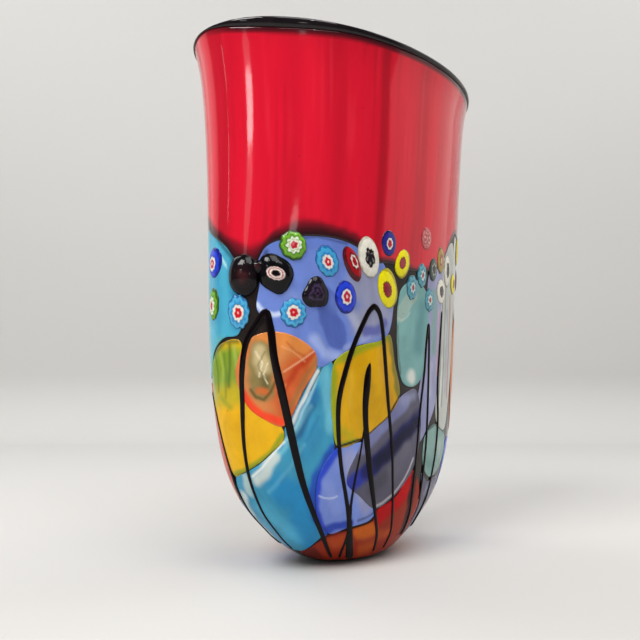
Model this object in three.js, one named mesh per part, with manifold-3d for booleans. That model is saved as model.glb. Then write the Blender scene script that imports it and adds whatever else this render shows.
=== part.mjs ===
// Hand-blown oval art-glass vase: a black glass vessel with a red overlay, coloured shards,
// cane slices (murrine), trailed black threads and a black lip wrap.
// Millimetres. Z is up, X is the broad width, Y the depth, and the front faces -Y.
// The origin is the centre of the ground foot.
import * as THREE from 'three';
import Module from 'manifold-3d';
import { mergeVertices } from 'three/addons/utils/BufferGeometryUtils.js';

const wasm = await Module();
wasm.setup();

// Driving dimensions
const HEIGHT = 300;
const LIP_HEIGHT = 5.6;
const WALL = 4.5;
const FLOOR_THICKNESS = 11;
const SHARD_THICKNESS = 1.3;
const THREAD_THICKNESS = 1.3;
const GAP = 0.3;
const SHARD_GAP = 0.6;
const OVERLAY_GAP = 1.2;
const COLUMNS = 36;
const BELT_HEIGHT = 150;
const FOOT_TOP = 4;
const SHARD_FOOT = 6.5;

// Outside of the vase from the foot up: height, half-width along X, half-depth along Y.
const PROFILE = [
  [0, 25, 18],
  [1.5, 31.5, 22],
  [4, 37, 25.5],
  [9, 44.5, 29.5],
  [18, 56, 35.5],
  [36, 74, 42.5],
  [60, 87, 46],
  [96, 95, 47],
  [135, 98, 49],
  [180, 98.5, 52.5],
  [225, 99, 57],
  [262, 101, 60],
  [285, 104, 62],
  [HEIGHT, 107.5, 65],
];

// Lower edge of the red overlay: distance round the belt from the front centre, height.
const OVERLAY_EDGE = [
  [-239, 186],
  [-210, 180],
  [-175, 190],
  [-139, 200],
  [-120, 186],
  [-105, 175],
  [-92, 183],
  [-66, 191],
  [-44, 185],
  [-22, 176],
  [5, 173],
  [30, 181],
  [63, 206],
  [95, 198],
  [130, 182],
  [165, 188],
  [200, 195],
  [239, 186],
];

// Heights of the facet rings shared by the vessel, the shards and the threads.
const RINGS = [SHARD_FOOT, 10, 16, 26, 40, 60, 86, 120, BELT_HEIGHT, 180, 212];

// Glass colours
const BLACK = '#0d0a0c';
const RED = '#d3122b';
const TURQUOISE = '#52b6cd';
const PERIWINKLE = '#6c85d2';
const LIME_GOLD = '#d2b022';
const AMBER = '#cf7430';
const AQUA = '#2f9bc6';
const GOLD = '#d5a41c';
const COBALT = '#5571dc';
const INDIGO = '#494d7c';
const PALE_TEAL = '#7fabaa';
const LILAC = '#a3a9c8';
const IVORY = '#d8d8d0';
const RED_ORANGE = '#b93c1c';

// Cubic through table rows [x, v1, v2, ...], with each row's slope taken from its neighbours.
function interpolate(table, x) {
  const last = table.length - 2;
  let i = 0;
  while (i < last && x > table[i + 1][0]) i += 1;
  const slope = (row, column) => {
    const a = table[Math.max(row - 1, 0)];
    const b = table[Math.min(row + 1, table.length - 1)];
    return (b[column] - a[column]) / (b[0] - a[0]);
  };
  const span = table[i + 1][0] - table[i][0];
  const s = (x - table[i][0]) / span;
  const values = [];
  for (let c = 1; c < table[i].length; c += 1) {
    values.push(
      (2 * s ** 3 - 3 * s ** 2 + 1) * table[i][c]
      + (s ** 3 - 2 * s ** 2 + s) * span * slope(i, c)
      + (3 * s ** 2 - 2 * s ** 3) * table[i + 1][c]
      + (s ** 3 - s ** 2) * span * slope(i + 1, c),
    );
  }
  return values;
}

// Point on the outside at an angle round the oval and a height, with its outward normal.
function surface(angle, z) {
  const [a, b] = interpolate(PROFILE, z);
  const step = 0.25;
  const low = interpolate(PROFILE, Math.max(z - step, 0));
  const high = interpolate(PROFILE, Math.min(z + step, HEIGHT));
  const rise = Math.min(z + step, HEIGHT) - Math.max(z - step, 0);
  const across = new THREE.Vector3(a * Math.cos(angle), b * Math.sin(angle), 0);
  const upward = new THREE.Vector3(
    ((high[0] - low[0]) / rise) * Math.sin(angle),
    (-(high[1] - low[1]) / rise) * Math.cos(angle),
    1,
  );
  return {
    point: new THREE.Vector3(a * Math.sin(angle), -b * Math.cos(angle), z),
    normal: across.clone().cross(upward).normalize(),
    across: across.normalize(),
  };
}

// The belt is the outline at BELT_HEIGHT. Decoration is placed by its distance round it, in
// millimetres, with 0 at the front centre and positive towards +X.
const beltSteps = 720;
const beltLength = [0];
for (let i = 1; i <= beltSteps; i += 1) {
  const from = surface((2 * Math.PI * (i - 1)) / beltSteps, BELT_HEIGHT).point;
  const to = surface((2 * Math.PI * i) / beltSteps, BELT_HEIGHT).point;
  beltLength.push(beltLength[i - 1] + from.distanceTo(to));
}
const BELT = beltLength[beltSteps];

function beltAngle(distance) {
  const turns = Math.floor(distance / BELT);
  const rest = distance - turns * BELT;
  let i = 1;
  while (i < beltSteps && beltLength[i] < rest) i += 1;
  const part = (rest - beltLength[i - 1]) / (beltLength[i] - beltLength[i - 1]);
  return (2 * Math.PI * (turns * beltSteps + i - 1 + part)) / beltSteps;
}

function beltDistance(angle) {
  const steps = (((angle / (2 * Math.PI)) % 1) + 1) % 1 * beltSteps;
  const i = Math.min(Math.floor(steps), beltSteps - 1);
  const distance = beltLength[i] + (steps - i) * (beltLength[i + 1] - beltLength[i]);
  return distance > BELT / 2 ? distance - BELT : distance;
}

// Positions only, shared corners merged, faces turned outwards.
function closed(geometry) {
  const bare = geometry.clone();
  bare.deleteAttribute('normal');
  bare.deleteAttribute('uv');
  const merged = mergeVertices(bare, 1e-4);
  const corner = [new THREE.Vector3(), new THREE.Vector3(), new THREE.Vector3()];
  const kept = [];
  let volume = 0;
  for (let i = 0; i < merged.index.count; i += 3) {
    const ids = [0, 1, 2].map((k) => merged.index.getX(i + k));
    if (ids[0] === ids[1] || ids[1] === ids[2] || ids[2] === ids[0]) continue;
    ids.forEach((id, k) => corner[k].fromBufferAttribute(merged.attributes.position, id));
    volume += corner[0].dot(corner[1].clone().cross(corner[2]));
    kept.push(ids);
  }
  merged.setIndex(kept.flatMap((ids) => (volume < 0 ? [ids[0], ids[2], ids[1]] : ids)));
  return merged;
}

function toSolid(geometry) {
  const clean = closed(geometry);
  return new wasm.Manifold(new wasm.Mesh({
    numProp: 3,
    vertProperties: new Float32Array(clean.attributes.position.array),
    triVerts: new Uint32Array(clean.index.array),
  }));
}

function toGeometry(solid) {
  const mesh = solid.getMesh();
  const geometry = new THREE.BufferGeometry();
  geometry.setAttribute('position', new THREE.BufferAttribute(mesh.vertProperties, 3));
  geometry.setIndex(new THREE.BufferAttribute(mesh.triVerts, 1));
  return geometry;
}

// A closed lathe profile pressed into the oval. Each row gives the height on the outside (z),
// the depth below it, and optionally a fixed level and a scale towards the axis.
function ovalLathe(rows) {
  const outline = rows.map((row) => new THREE.Vector2(1 + (row.scale ?? 1), row.level ?? 0));
  const geometry = new THREE.LatheGeometry(outline, COLUMNS);
  const position = geometry.attributes.position;
  for (let i = 0; i <= COLUMNS; i += 1) {
    const angle = (2 * Math.PI * (i % COLUMNS)) / COLUMNS;
    rows.forEach((row, j) => {
      const z = typeof row.z === 'function' ? row.z(beltDistance(angle)) : row.z;
      const { point, normal } = surface(angle, z);
      point.addScaledVector(normal, -(row.depth ?? 0));
      const scale = row.scale ?? 1;
      position.setXYZ(
        i * rows.length + j,
        point.x * scale,
        point.y * scale,
        row.level ?? point.z,
      );
    });
  }
  return geometry;
}

// A closed layer between two depths, following the facet rings.
function layer(outerDepth, innerDepth) {
  const outside = RINGS.map((z) => ({ z, depth: outerDepth }));
  const inside = RINGS.map((z) => ({ z, depth: innerDepth })).reverse();
  return toSolid(ovalLathe([...outside, ...inside, outside[0]]));
}

// Solid wedge that cuts a layer to an outline drawn on the unrolled belt.
function wedge(outline) {
  const shape = new THREE.Shape(outline);
  const geometry = new THREE.ExtrudeGeometry(shape, { depth: 1, bevelEnabled: false });
  const position = geometry.attributes.position;
  for (let i = 0; i < position.count; i += 1) {
    const { point } = surface(beltAngle(position.getX(i)), position.getY(i));
    const reach = position.getZ(i) > 0.5 ? 2.5 : 0.8;
    position.setXYZ(i, point.x * reach, point.y * reach, point.z);
  }
  return toSolid(geometry);
}

function smoothOutline(points) {
  const curve = new THREE.CatmullRomCurve3(
    points.map(([u, z]) => new THREE.Vector3(u, z, 0)),
    true,
    'centripetal',
  );
  const samples = curve.getPoints(Math.round(points.length * 1.4));
  samples.pop();
  return samples.map((p) => new THREE.Vector2(p.x, Math.max(p.y, SHARD_FOOT - 1)));
}

// The outline moved outwards by a distance.
function grow(outline, distance) {
  const turn = THREE.ShapeUtils.area(outline) > 0 ? 1 : -1;
  return outline.map((p, i) => {
    const before = outline[(i + outline.length - 1) % outline.length];
    const after = outline[(i + 1) % outline.length];
    const along = after.clone().sub(before).normalize();
    return new THREE.Vector2(p.x + turn * distance * along.y, p.y - turn * distance * along.x);
  });
}

// Outline of a drawn thread from its centre line [u, z, width].
function threadOutline(path) {
  const curve = new THREE.CatmullRomCurve3(
    path.map(([u, z, width]) => new THREE.Vector3(u, z, width / 2)),
    false,
    'centripetal',
  );
  const samples = curve.getPoints(path.length);
  const left = [];
  const right = [];
  samples.forEach((p, i) => {
    const before = samples[Math.max(i - 1, 0)];
    const after = samples[Math.min(i + 1, samples.length - 1)];
    const side = new THREE.Vector2(after.y - before.y, before.x - after.x).normalize();
    left.push(new THREE.Vector2(p.x + side.x * p.z, p.y + side.y * p.z));
    right.unshift(new THREE.Vector2(p.x - side.x * p.z, p.y - side.y * p.z));
  });
  return [...left, ...right];
}

const vase = new THREE.Group();

function addMesh(name, geometry, color, roughness = 0.06) {
  const material = new THREE.MeshStandardMaterial({ color, roughness, metalness: 0 });
  const mesh = new THREE.Mesh(closed(geometry), material);
  mesh.name = name;
  vase.add(mesh);
  return mesh;
}

// Black vessel: ground foot, thick floor, even wall, open top.
const bodyTop = HEIGHT - LIP_HEIGHT - GAP;
const bodyDepth = SHARD_THICKNESS + GAP;
const wallDepth = bodyDepth + WALL;
const upperRings = [255, 280];
addMesh('vessel_body', ovalLathe([
  { z: 0, scale: 0, level: 0 },
  { z: 0, level: 0 },
  { z: 1.5 },
  { z: FOOT_TOP },
  ...RINGS.map((z) => ({ z, depth: bodyDepth })),
  ...upperRings.map((z) => ({ z, depth: bodyDepth })),
  { z: bodyTop, depth: bodyDepth, level: bodyTop },
  { z: bodyTop, depth: wallDepth, level: bodyTop },
  ...[270, 212, 120, 60, 34, 20].map((z) => ({ z, depth: wallDepth })),
  { z: 11, depth: wallDepth, level: FLOOR_THICKNESS + 3 },
  { z: 11, depth: wallDepth, scale: 0.6, level: FLOOR_THICKNESS + 0.5 },
  { z: 11, depth: wallDepth, scale: 0, level: FLOOR_THICKNESS },
]), BLACK);

// Red overlay on the upper part, with a wavy lower edge.
const edgeAt = (u) => interpolate(OVERLAY_EDGE, u)[0];
const overlayRings = [RINGS[RINGS.length - 1], ...upperRings];
const overlayTop = { z: bodyTop, depth: 0, level: bodyTop };
const overlayBottom = { z: edgeAt, depth: 0 };
addMesh('red_overlay', ovalLathe([
  overlayBottom,
  ...overlayRings.map((z) => ({ z, depth: 0 })),
  overlayTop,
  { ...overlayTop, depth: SHARD_THICKNESS },
  ...overlayRings.reverse().map((z) => ({ z, depth: SHARD_THICKNESS })),
  { z: edgeAt, depth: SHARD_THICKNESS },
  overlayBottom,
]), RED);

// Rounded black lip wrapped round the mouth.
const lipBase = HEIGHT - LIP_HEIGHT;
const lipRow = (depth, level) => ({ z: Math.min(level, HEIGHT), depth, level });
addMesh('lip_wrap', ovalLathe([
  lipRow(-0.1, lipBase),
  lipRow(-0.6, lipBase + 2.8),
  lipRow(0.9, HEIGHT - 0.4),
  lipRow(3, HEIGHT),
  lipRow(5.2, HEIGHT - 0.8),
  lipRow(6.3, lipBase + 2.6),
  lipRow(6.1, lipBase),
  lipRow(-0.1, lipBase),
]), BLACK);

// Colour shards: name, colour, outline on the unrolled belt. Each one butts against those
// laid before it, and all of them stop at the overlay.
const SHARDS = [
  ['shard_amber_disc', AMBER, [
    [-108, 109], [-106, 117], [-102, 125], [-95, 130], [-83, 131.5], [-72, 128],
    [-63, 121], [-61.5, 114], [-70, 100], [-78, 86], [-84, 81.5], [-93, 85], [-102, 92],
  ]],
  ['shard_gold', GOLD, [
    [-51, 115], [-38, 123], [-18, 128], [-13, 131], [-7, 115], [-2, 97],
    [-11, 86], [-21, 80], [-32, 74], [-51, 70], [-53, 85], [-53, 100],
  ]],
  ['shard_periwinkle', PERIWINKLE, [
    [-98, 158], [-97, 173], [-88, 187], [-72, 194], [-52, 190], [-36, 184], [-20, 177],
    [-8, 158], [-9, 147], [-15, 131], [-38, 126], [-52, 117], [-60, 115], [-62, 124],
    [-72, 131], [-84, 135], [-91, 139], [-96, 147],
  ]],
  ['shard_pale_teal', PALE_TEAL, [
    [-6, 150], [-3, 160], [10, 166], [22, 159], [26, 145], [25, 125],
    [21, 109], [12, 102.5], [2, 104], [-2, 110], [-5, 124], [-6, 138],
  ]],
  ['shard_lime_gold', LIME_GOLD, [
    [-123, 121], [-116, 127], [-104, 127], [-104, 110], [-98, 92], [-84, 79],
    [-84, 75], [-93, 67], [-102, 61], [-113, 56], [-121, 54], [-124, 68], [-129, 88],
    [-131, 102], [-128, 114],
  ]],
  ['shard_turquoise', TURQUOISE, [
    [-139, 205], [-122, 195], [-112, 184], [-106, 172], [-104, 152], [-101, 136],
    [-104, 130], [-115, 129], [-125, 121], [-132, 108], [-140, 108], [-147, 140],
    [-147, 180],
  ]],
  ['shard_indigo', INDIGO, [
    [-31, 74], [-15, 84], [-3, 94], [14, 99], [20, 86], [18, 68], [13, 54],
    [-4, 40], [-24, 34.5], [-38, 42], [-47, 50], [-38, 66],
  ]],
  ['shard_cobalt', COBALT, [
    [-52, 69], [-64, 57], [-71, 43], [-74, 30], [-70, 22], [-50, 24.5], [-26, 28.5],
    [-22, 33], [-32, 42], [-40, 55], [-34, 68], [-44, 70],
  ]],
  ['shard_aqua', AQUA, [
    [-61, 111], [-51, 114], [-50, 96], [-52, 76], [-60, 60], [-68, 45], [-72, 27],
    [-78, 20], [-94, 13], [-110, 9.5], [-124, 12], [-131, 22], [-130, 34], [-125, 43],
    [-120, 53], [-106, 58], [-90, 67], [-80, 78], [-70, 92],
  ]],
  ['shard_red_strip', RED_ORANGE, [
    [-146, 102], [-135, 99], [-127, 80], [-125, 62], [-127, 47], [-138, 40], [-152, 60],
  ]],
  ['shard_red_band', RED_ORANGE, [
    [-112, 7], [-92, 12], [-72, 20], [-50, 23], [-24, 27], [-3, 39], [12, 53],
    [24, 46], [40, 24], [46, 11], [40, 6.5], [0, 6], [-50, 6], [-100, 6],
  ]],
  ['shard_lilac', LILAC, [
    [29, 164], [38, 165], [41, 140], [41, 112], [39, 92], [32, 80], [19, 70],
    [17, 92], [24, 106], [28, 122], [28, 142],
  ]],
  ['shard_ivory', IVORY, [
    [44, 170], [58, 172], [64, 152], [66, 122], [64, 94], [58, 77], [43, 82],
    [43, 100], [45, 122], [44, 146],
  ]],
  ['shard_teal_low', PALE_TEAL, [
    [27, 72], [40, 79], [60, 73], [65, 60], [56, 49], [40, 47], [27, 56],
  ]],
  ['shard_indigo_low', INDIGO, [
    [27, 50], [40, 44], [56, 46], [68, 40], [74, 24], [62, 13], [50, 12], [42, 26],
  ]],
  ['shard_amber_back', AMBER, [
    [76, 142], [100, 150], [122, 138], [128, 112], [118, 84], [96, 72], [80, 84], [72, 110],
  ]],
  ['shard_aqua_back', AQUA, [
    [128, 176], [150, 178], [174, 166], [180, 140], [172, 114], [150, 102], [134, 112],
    [131, 145],
  ]],
  ['shard_gold_back', GOLD, [
    [134, 100], [152, 92], [176, 104], [196, 94], [204, 70], [190, 44], [160, 34],
    [136, 44], [130, 74],
  ]],
  ['shard_periwinkle_back', PERIWINKLE, [
    [188, 182], [210, 184], [230, 176], [240, 150], [236, 116], [214, 98], [196, 106],
    [186, 130], [184, 158],
  ]],
  ['shard_turquoise_back', TURQUOISE, [
    [-230, 120], [-200, 108], [-170, 118], [-156, 100], [-160, 62], [-186, 46],
    [-220, 56], [-234, 88],
  ]],
];

const shardLayer = layer(0, SHARD_THICKNESS);
const aboveEdge = (clearance) => (u) => edgeAt(u) - clearance;
const overlayRoom = toSolid(ovalLathe([
  { z: aboveEdge(OVERLAY_GAP), scale: 0.7 },
  { z: aboveEdge(OVERLAY_GAP), scale: 1.6 },
  { z: 290, scale: 1.6 },
  { z: 290, scale: 0.7 },
  { z: aboveEdge(OVERLAY_GAP), scale: 0.7 },
]));
const laid = [];
SHARDS.forEach(([name, color, points]) => {
  const outline = smoothOutline(points);
  const box = new THREE.Box2().setFromPoints(outline).expandByScalar(SHARD_GAP);
  let solid = shardLayer.intersect(wedge(outline)).subtract(overlayRoom);
  laid.filter((other) => other.box.intersectsBox(box)).forEach((other) => {
    solid = solid.subtract(other.room);
  });
  laid.push({ box, room: wedge(grow(outline, SHARD_GAP)) });
  addMesh(name, toGeometry(solid), color);
});

// Trailed threads: name, then one or more centre lines [u, z, width] that run together.
const THREADS = [
  ['thread_1', [
    [[-90, 143, 3], [-95, 136, 3.6], [-101, 126, 4], [-104, 110, 4], [-105, 94, 4],
      [-107, 76, 3.8], [-109, 56, 3.6], [-111, 36, 3.4], [-114, 20, 3.4], [-117, 10, 3.4]],
    [[-90, 143, 3], [-88, 134, 4], [-86, 118, 4.4], [-82, 100, 4.8], [-80, 84, 5],
      [-78, 66, 4.8], [-77, 48, 4.6], [-76, 30, 4.4], [-77, 16, 4.4], [-78, 8.5, 4.4]],
  ]],
  ['thread_2', [
    [[-133, 100, 2.4], [-128, 86, 2.6], [-125, 72, 2.8], [-124, 54, 3], [-125, 38, 3.2],
      [-128, 24, 3.4], [-132, 12, 3.6]],
  ]],
  ['thread_3', [
    [[-25, 150, 3], [-31, 139, 4.2], [-38, 126, 4.4], [-44, 111, 4.4], [-49, 95, 4.4],
      [-50, 79, 4.2], [-50, 60, 4], [-49, 42, 4.4], [-48, 28, 6], [-49, 16, 7], [-50, 8, 7]],
    [[-25, 150, 3], [-20, 139, 4], [-16, 120, 4.2], [-13, 100, 4], [-12, 84, 3.6],
      [-9, 66, 3.2], [-7, 46, 3], [-2, 30, 3], [6, 18, 3.2], [14, 10, 3.4]],
    [[-36, 64, 2], [-41, 50, 2.4], [-45, 38, 3], [-48, 28, 4]],
  ]],
  ['thread_4', [
    [[-28, 117, 2], [-29, 110, 5], [-30, 102, 6], [-31, 90, 5.4], [-30, 72, 5],
      [-29, 56, 4.6], [-26, 42, 4], [-22, 28, 3.6], [-14, 16, 3.6], [-7, 9, 3.6]],
  ]],
  ['thread_5', [
    [[27, 143, 2.4], [24, 130, 3.2], [22.5, 110, 3.4], [20, 90, 3.2], [17.5, 70, 3],
      [17, 52, 3], [20, 36, 3.2], [30, 22, 3.4], [38, 13, 3.4]],
    [[27, 143, 2.4], [30, 130, 3.2], [31, 108, 3.2], [31, 88, 3], [29, 68, 3], [29, 50, 3],
      [33, 34, 3]],
  ]],
  ['thread_6', [
    [[44, 150, 2.6], [43, 128, 3.2], [42, 104, 3.2], [45, 82, 3.2], [45, 62, 3.2],
      [46, 44, 3.2], [52, 28, 3.2], [60, 16, 3.4]],
  ]],
  ['thread_7', [
    [[146, 150, 3], [136, 126, 4], [130, 98, 4.4], [130, 70, 4.2], [134, 42, 4],
      [146, 18, 4]],
    [[146, 150, 3], [156, 124, 4], [164, 96, 4.4], [168, 68, 4.2], [174, 42, 4],
      [186, 18, 4]],
  ]],
  ['thread_8', [
    [[-198, 146, 3], [-190, 122, 4], [-184, 94, 4.4], [-180, 66, 4.2], [-180, 40, 4],
      [-186, 16, 4]],
    [[-198, 146, 3], [-208, 120, 4], [-214, 92, 4.4], [-214, 64, 4.2], [-210, 40, 4],
      [-214, 16, 4]],
  ]],
];

const threadLayer = layer(-GAP - THREAD_THICKNESS, -GAP);
THREADS.forEach(([name, strands]) => {
  let solid = null;
  strands.forEach((path) => {
    const strand = wedge(threadOutline(path));
    solid = solid ? solid.add(strand) : strand;
  });
  addMesh(name, toGeometry(threadLayer.intersect(solid)), BLACK);
});

// Cane slices melted on to the surface: name, colour, distance round the belt, height,
// width, length up the vase, tilt in degrees, thickness.
const MURRINE = [
  ['murrine_cobalt_left', '#1f33b8', -123.5, 170.5, 14, 17, 0, 1.5],
  ['murrine_green_left', '#5f9c28', -124, 147.5, 11, 18, 0, 1.5],
  ['murrine_black_lump', BLACK, -103, 163, 15, 19.5, 0, 5],
  ['murrine_black_eye', BLACK, -85, 162, 18, 19, 0, 4.4],
  ['murrine_green_flower', '#6fae2e', -76.5, 179.5, 14.5, 14.5, 0, 2.4],
  ['murrine_sky', '#3f9fd0', -57.5, 171, 13.5, 15.5, 0, 1.8],
  ['murrine_crimson', '#a3121d', -43.2, 170.5, 9.6, 18.5, 12, 1.6],
  ['murrine_white_dot', '#e6e2d4', -30.3, 175, 13.4, 22.5, 4, 1.9],
  ['murrine_navy', '#2a2f96', -15, 184.5, 11, 14, 0, 1.6],
  ['murrine_yellow_small', '#e5dc22', -3.2, 174, 12, 16.5, -6, 1.6],
  ['murrine_yellow_large', '#e5dc22', -15.6, 157.5, 15, 22, 3, 1.8],
  ['murrine_royal', '#1c33c8', -45, 152, 13, 17.5, 4, 1.8],
  ['murrine_plum', '#1b1220', -62.8, 152.6, 14.4, 16, 0, 2.8],
  ['murrine_flower_right', '#3fa3d8', -75, 141.4, 13.4, 15, 0, 1.6],
  ['murrine_flower_left', '#3fa3d8', -106, 142.5, 11.5, 17.5, 0, 1.6],
  ['murrine_rose', '#cf6a72', 18, 192, 11.5, 13.5, 0, 1.4],
  ['murrine_teal_flower', '#4f97a6', 6, 161, 10.5, 15, 0, 1.4],
  ['murrine_teal_small', '#5a9aa4', 17.5, 170.5, 9, 14, 0, 1.4],
  ['murrine_teal_low', '#4f93a2', 27.5, 154.5, 10, 13.5, 0, 1.4],
  ['murrine_moss', '#5d6a60', 28.5, 174.5, 10, 14.5, 0, 1.4],
  ['murrine_saffron', '#b9a254', 38.5, 182.5, 9.5, 15, 0, 1.4],
  ['murrine_white_tall', '#d8d6cc', 50.5, 178, 10.5, 20, 0, 1.4],
  ['murrine_white_low', '#d6d2c4', 41.5, 160.5, 11.5, 14.5, 0, 1.4],
  ['murrine_yellow_side', '#cfc83a', 65, 170, 12, 14, 0, 1.4],
  ['murrine_yellow_end', '#cfc83a', 79, 194, 12, 20, 0, 1.4],
  ['murrine_back_1', '#1f33b8', 108, 166, 14, 18, 0, 1.6],
  ['murrine_back_2', '#e5dc22', 142, 162, 14, 19, 0, 1.6],
  ['murrine_back_3', '#3fa3d8', 202, 160, 14, 17, 0, 1.6],
  ['murrine_back_4', '#6fae2e', -184, 160, 14, 17, 0, 1.8],
];
// Rounded button section: share of the half-width, share of the thickness.
const BUTTON = [
  [0, 0],
  [1, 0],
  [0.82, 0.8],
  [0, 1],
];
MURRINE.forEach(([name, color, u, z, width, length, tilt, thickness]) => {
  const sides = thickness > 2 ? 12 : 9;
  const profile = BUTTON.map(([r, h]) => new THREE.Vector2(r, h));
  const geometry = new THREE.LatheGeometry(profile, sides);
  geometry.scale(width / 2, thickness, length / 2);
  geometry.rotateY(THREE.MathUtils.degToRad(tilt));
  const { point, normal, across } = surface(beltAngle(u), z);
  const mesh = addMesh(name, geometry, color);
  const third = across.clone().cross(normal);
  mesh.quaternion.setFromRotationMatrix(
    new THREE.Matrix4().makeBasis(across, normal, third),
  );
  mesh.position.copy(point.addScaledVector(normal, GAP));
});

export default vase;
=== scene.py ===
"""Hand-blown oval art-glass vase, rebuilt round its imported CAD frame.

Everything on the wall is drawn in belt coordinates, in millimetres: u is the distance round the
oval at the height of the belt, from the front centre towards +X, and z is the height.
"""
import itertools
import math

import bpy
import numpy as np
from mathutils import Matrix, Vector, noise
from mathutils.geometry import delaunay_2d_cdt


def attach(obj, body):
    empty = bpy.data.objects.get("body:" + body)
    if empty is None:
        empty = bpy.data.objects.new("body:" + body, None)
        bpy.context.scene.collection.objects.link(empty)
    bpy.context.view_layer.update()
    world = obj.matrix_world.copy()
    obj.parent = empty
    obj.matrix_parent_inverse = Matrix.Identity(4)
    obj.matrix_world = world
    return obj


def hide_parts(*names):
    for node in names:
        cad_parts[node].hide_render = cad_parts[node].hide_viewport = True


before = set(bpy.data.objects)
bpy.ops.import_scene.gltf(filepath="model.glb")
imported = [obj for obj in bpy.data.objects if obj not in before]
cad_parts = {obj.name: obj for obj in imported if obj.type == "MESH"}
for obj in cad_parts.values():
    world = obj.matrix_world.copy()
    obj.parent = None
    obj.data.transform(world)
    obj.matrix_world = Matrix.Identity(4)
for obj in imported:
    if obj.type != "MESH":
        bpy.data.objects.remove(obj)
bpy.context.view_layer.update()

MM = 0.001
HEIGHT = 300.0
BELT_HEIGHT = 150.0
# Depths below the outside of the black glass under the colours and of the hollow's wall
SKIN, INNER_DEPTH = 0.5, 6.1

# Height, half-width along X, half-depth along Y
PROFILE = [
    (0, 25, 18), (1.5, 31.5, 22), (4, 37, 25.5), (9, 44.5, 29.5), (18, 56, 35.5), (36, 74, 42.5),
    (60, 87, 46), (96, 95, 47), (135, 98, 49), (180, 98.5, 52.5), (225, 99, 57), (262, 101, 60),
    (285, 104, 62), (300, 107.5, 65),
]
# Where the clear red ends and the dark leading under it starts: u, z
RED_END = [
    (-239, 186), (-210, 181), (-175, 190), (-150, 199), (-139, 200), (-132, 197), (-117, 186),
    (-108, 180), (-100, 176), (-93, 179), (-87, 185), (-79, 189), (-73, 191), (-63, 191),
    (-51, 189), (-39, 186), (-29, 177), (-15, 176), (-2, 174), (13, 174), (37, 180), (56, 201),
    (66, 206), (95, 198), (130, 182), (165, 188), (200, 195), (239, 186),
]
# Lower edge of that leading
BAND_END = [
    (-239, 181), (-210, 176), (-175, 184), (-150, 194), (-139, 195), (-132, 190), (-114, 178),
    (-107, 169), (-100, 164), (-96, 168), (-92, 176), (-84, 180.5), (-72, 183), (-59, 183.5),
    (-47, 182), (-38, 179), (-29, 172.5), (-15, 173), (-2, 171), (13, 171.5), (37, 177), (56, 198),
    (66, 203), (95, 194), (130, 177), (165, 183), (200, 190), (239, 181),
]
# How far the black lip wrap reaches down from the rim
LIP_REACH = [
    (-239, 4.2), (-200, 3), (-170, 1.2), (-150, 0.7), (-130, 0.7), (-120, 1.2), (-112, 2.6),
    (-101, 4.6), (-86, 5.8), (-68, 5.2), (-53, 4.2), (-42, 3.8), (-30, 3.7), (-10, 3.4), (17, 3.2),
    (42, 3), (80, 3.2), (120, 4), (180, 5), (239, 4.2),
]
# The three tables above run over this half of the belt each way
HALF_TABLE = 239


def linear(code):
    """Linear colour of an sRGB hex code."""
    values = [int(code[i:i + 2], 16) / 255 for i in (1, 3, 5)]
    return np.array([v / 12.92 if v <= 0.04045 else ((v + 0.055) / 1.055) ** 2.4 for v in values])


def hermite(table, x):
    """Cubic through the rows of a table, with slopes from the neighbouring rows."""
    t = np.asarray(table, float)
    x = np.asarray(x, float)
    i = np.clip(np.searchsorted(t[:, 0], x) - 1, 0, len(t) - 2)
    before = np.maximum(np.arange(len(t)) - 1, 0)
    after = np.minimum(np.arange(len(t)) + 1, len(t) - 1)
    out = []
    span = t[i + 1, 0] - t[i, 0]
    s = (x - t[i, 0]) / span
    for c in range(1, t.shape[1]):
        slope = (t[after, c] - t[before, c]) / (t[after, 0] - t[before, 0])
        out.append(
            (2 * s ** 3 - 3 * s ** 2 + 1) * t[i, c]
            + (s ** 3 - 2 * s ** 2 + s) * span * slope[i]
            + (3 * s ** 2 - 2 * s ** 3) * t[i + 1, c]
            + (s ** 3 - s ** 2) * span * slope[i + 1]
        )
    return out


SLOPE_STEP = 0.25


def surface(angle, z):
    """Points on the outside, outward normals and level tangents."""
    angle, z = np.broadcast_arrays(np.asarray(angle, float), np.asarray(z, float))
    z = np.clip(z, 0, HEIGHT)
    a, b = hermite(PROFILE, z)
    low, high = np.maximum(z - SLOPE_STEP, 0), np.minimum(z + SLOPE_STEP, HEIGHT)
    a0, b0 = hermite(PROFILE, low)
    a1, b1 = hermite(PROFILE, high)
    rise = high - low
    sin, cos = np.sin(angle), np.cos(angle)
    point = np.stack([a * sin, -b * cos, z], -1)
    across = np.stack([a * cos, b * sin, 0 * z], -1)
    upward = np.stack([(a1 - a0) / rise * sin, -(b1 - b0) / rise * cos, 1 + 0 * z], -1)
    normal = np.cross(across, upward)
    normal /= np.linalg.norm(normal, axis=-1, keepdims=True)
    across /= np.linalg.norm(across, axis=-1, keepdims=True)
    return point, normal, across


BELT_STEPS = 1440
belt_angles = np.linspace(0, 2 * np.pi, BELT_STEPS + 1)
belt_points = surface(belt_angles, BELT_HEIGHT)[0]
belt_lengths = np.concatenate([
    [0], np.cumsum(np.linalg.norm(np.diff(belt_points, axis=0), axis=1)),
])
BELT = float(belt_lengths[-1])


def belt_angle(u):
    u = np.asarray(u, float)
    turns = np.floor(u / BELT)
    return np.interp(u - turns * BELT, belt_lengths, belt_angles) + turns * 2 * np.pi


def belt_u(angle):
    u = np.interp(np.mod(angle, 2 * np.pi), belt_angles, belt_lengths)
    return np.where(u > BELT / 2, u - BELT, u)


def on_wall(u, z, depth):
    """Points on the wall, sunk by a depth."""
    point, normal, _ = surface(belt_angle(u), z)
    return point - normal * np.asarray(depth, float)[..., None]


def link_object(name, data):
    made = bpy.data.objects.new(name, data)
    bpy.context.scene.collection.objects.link(made)
    return made


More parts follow.
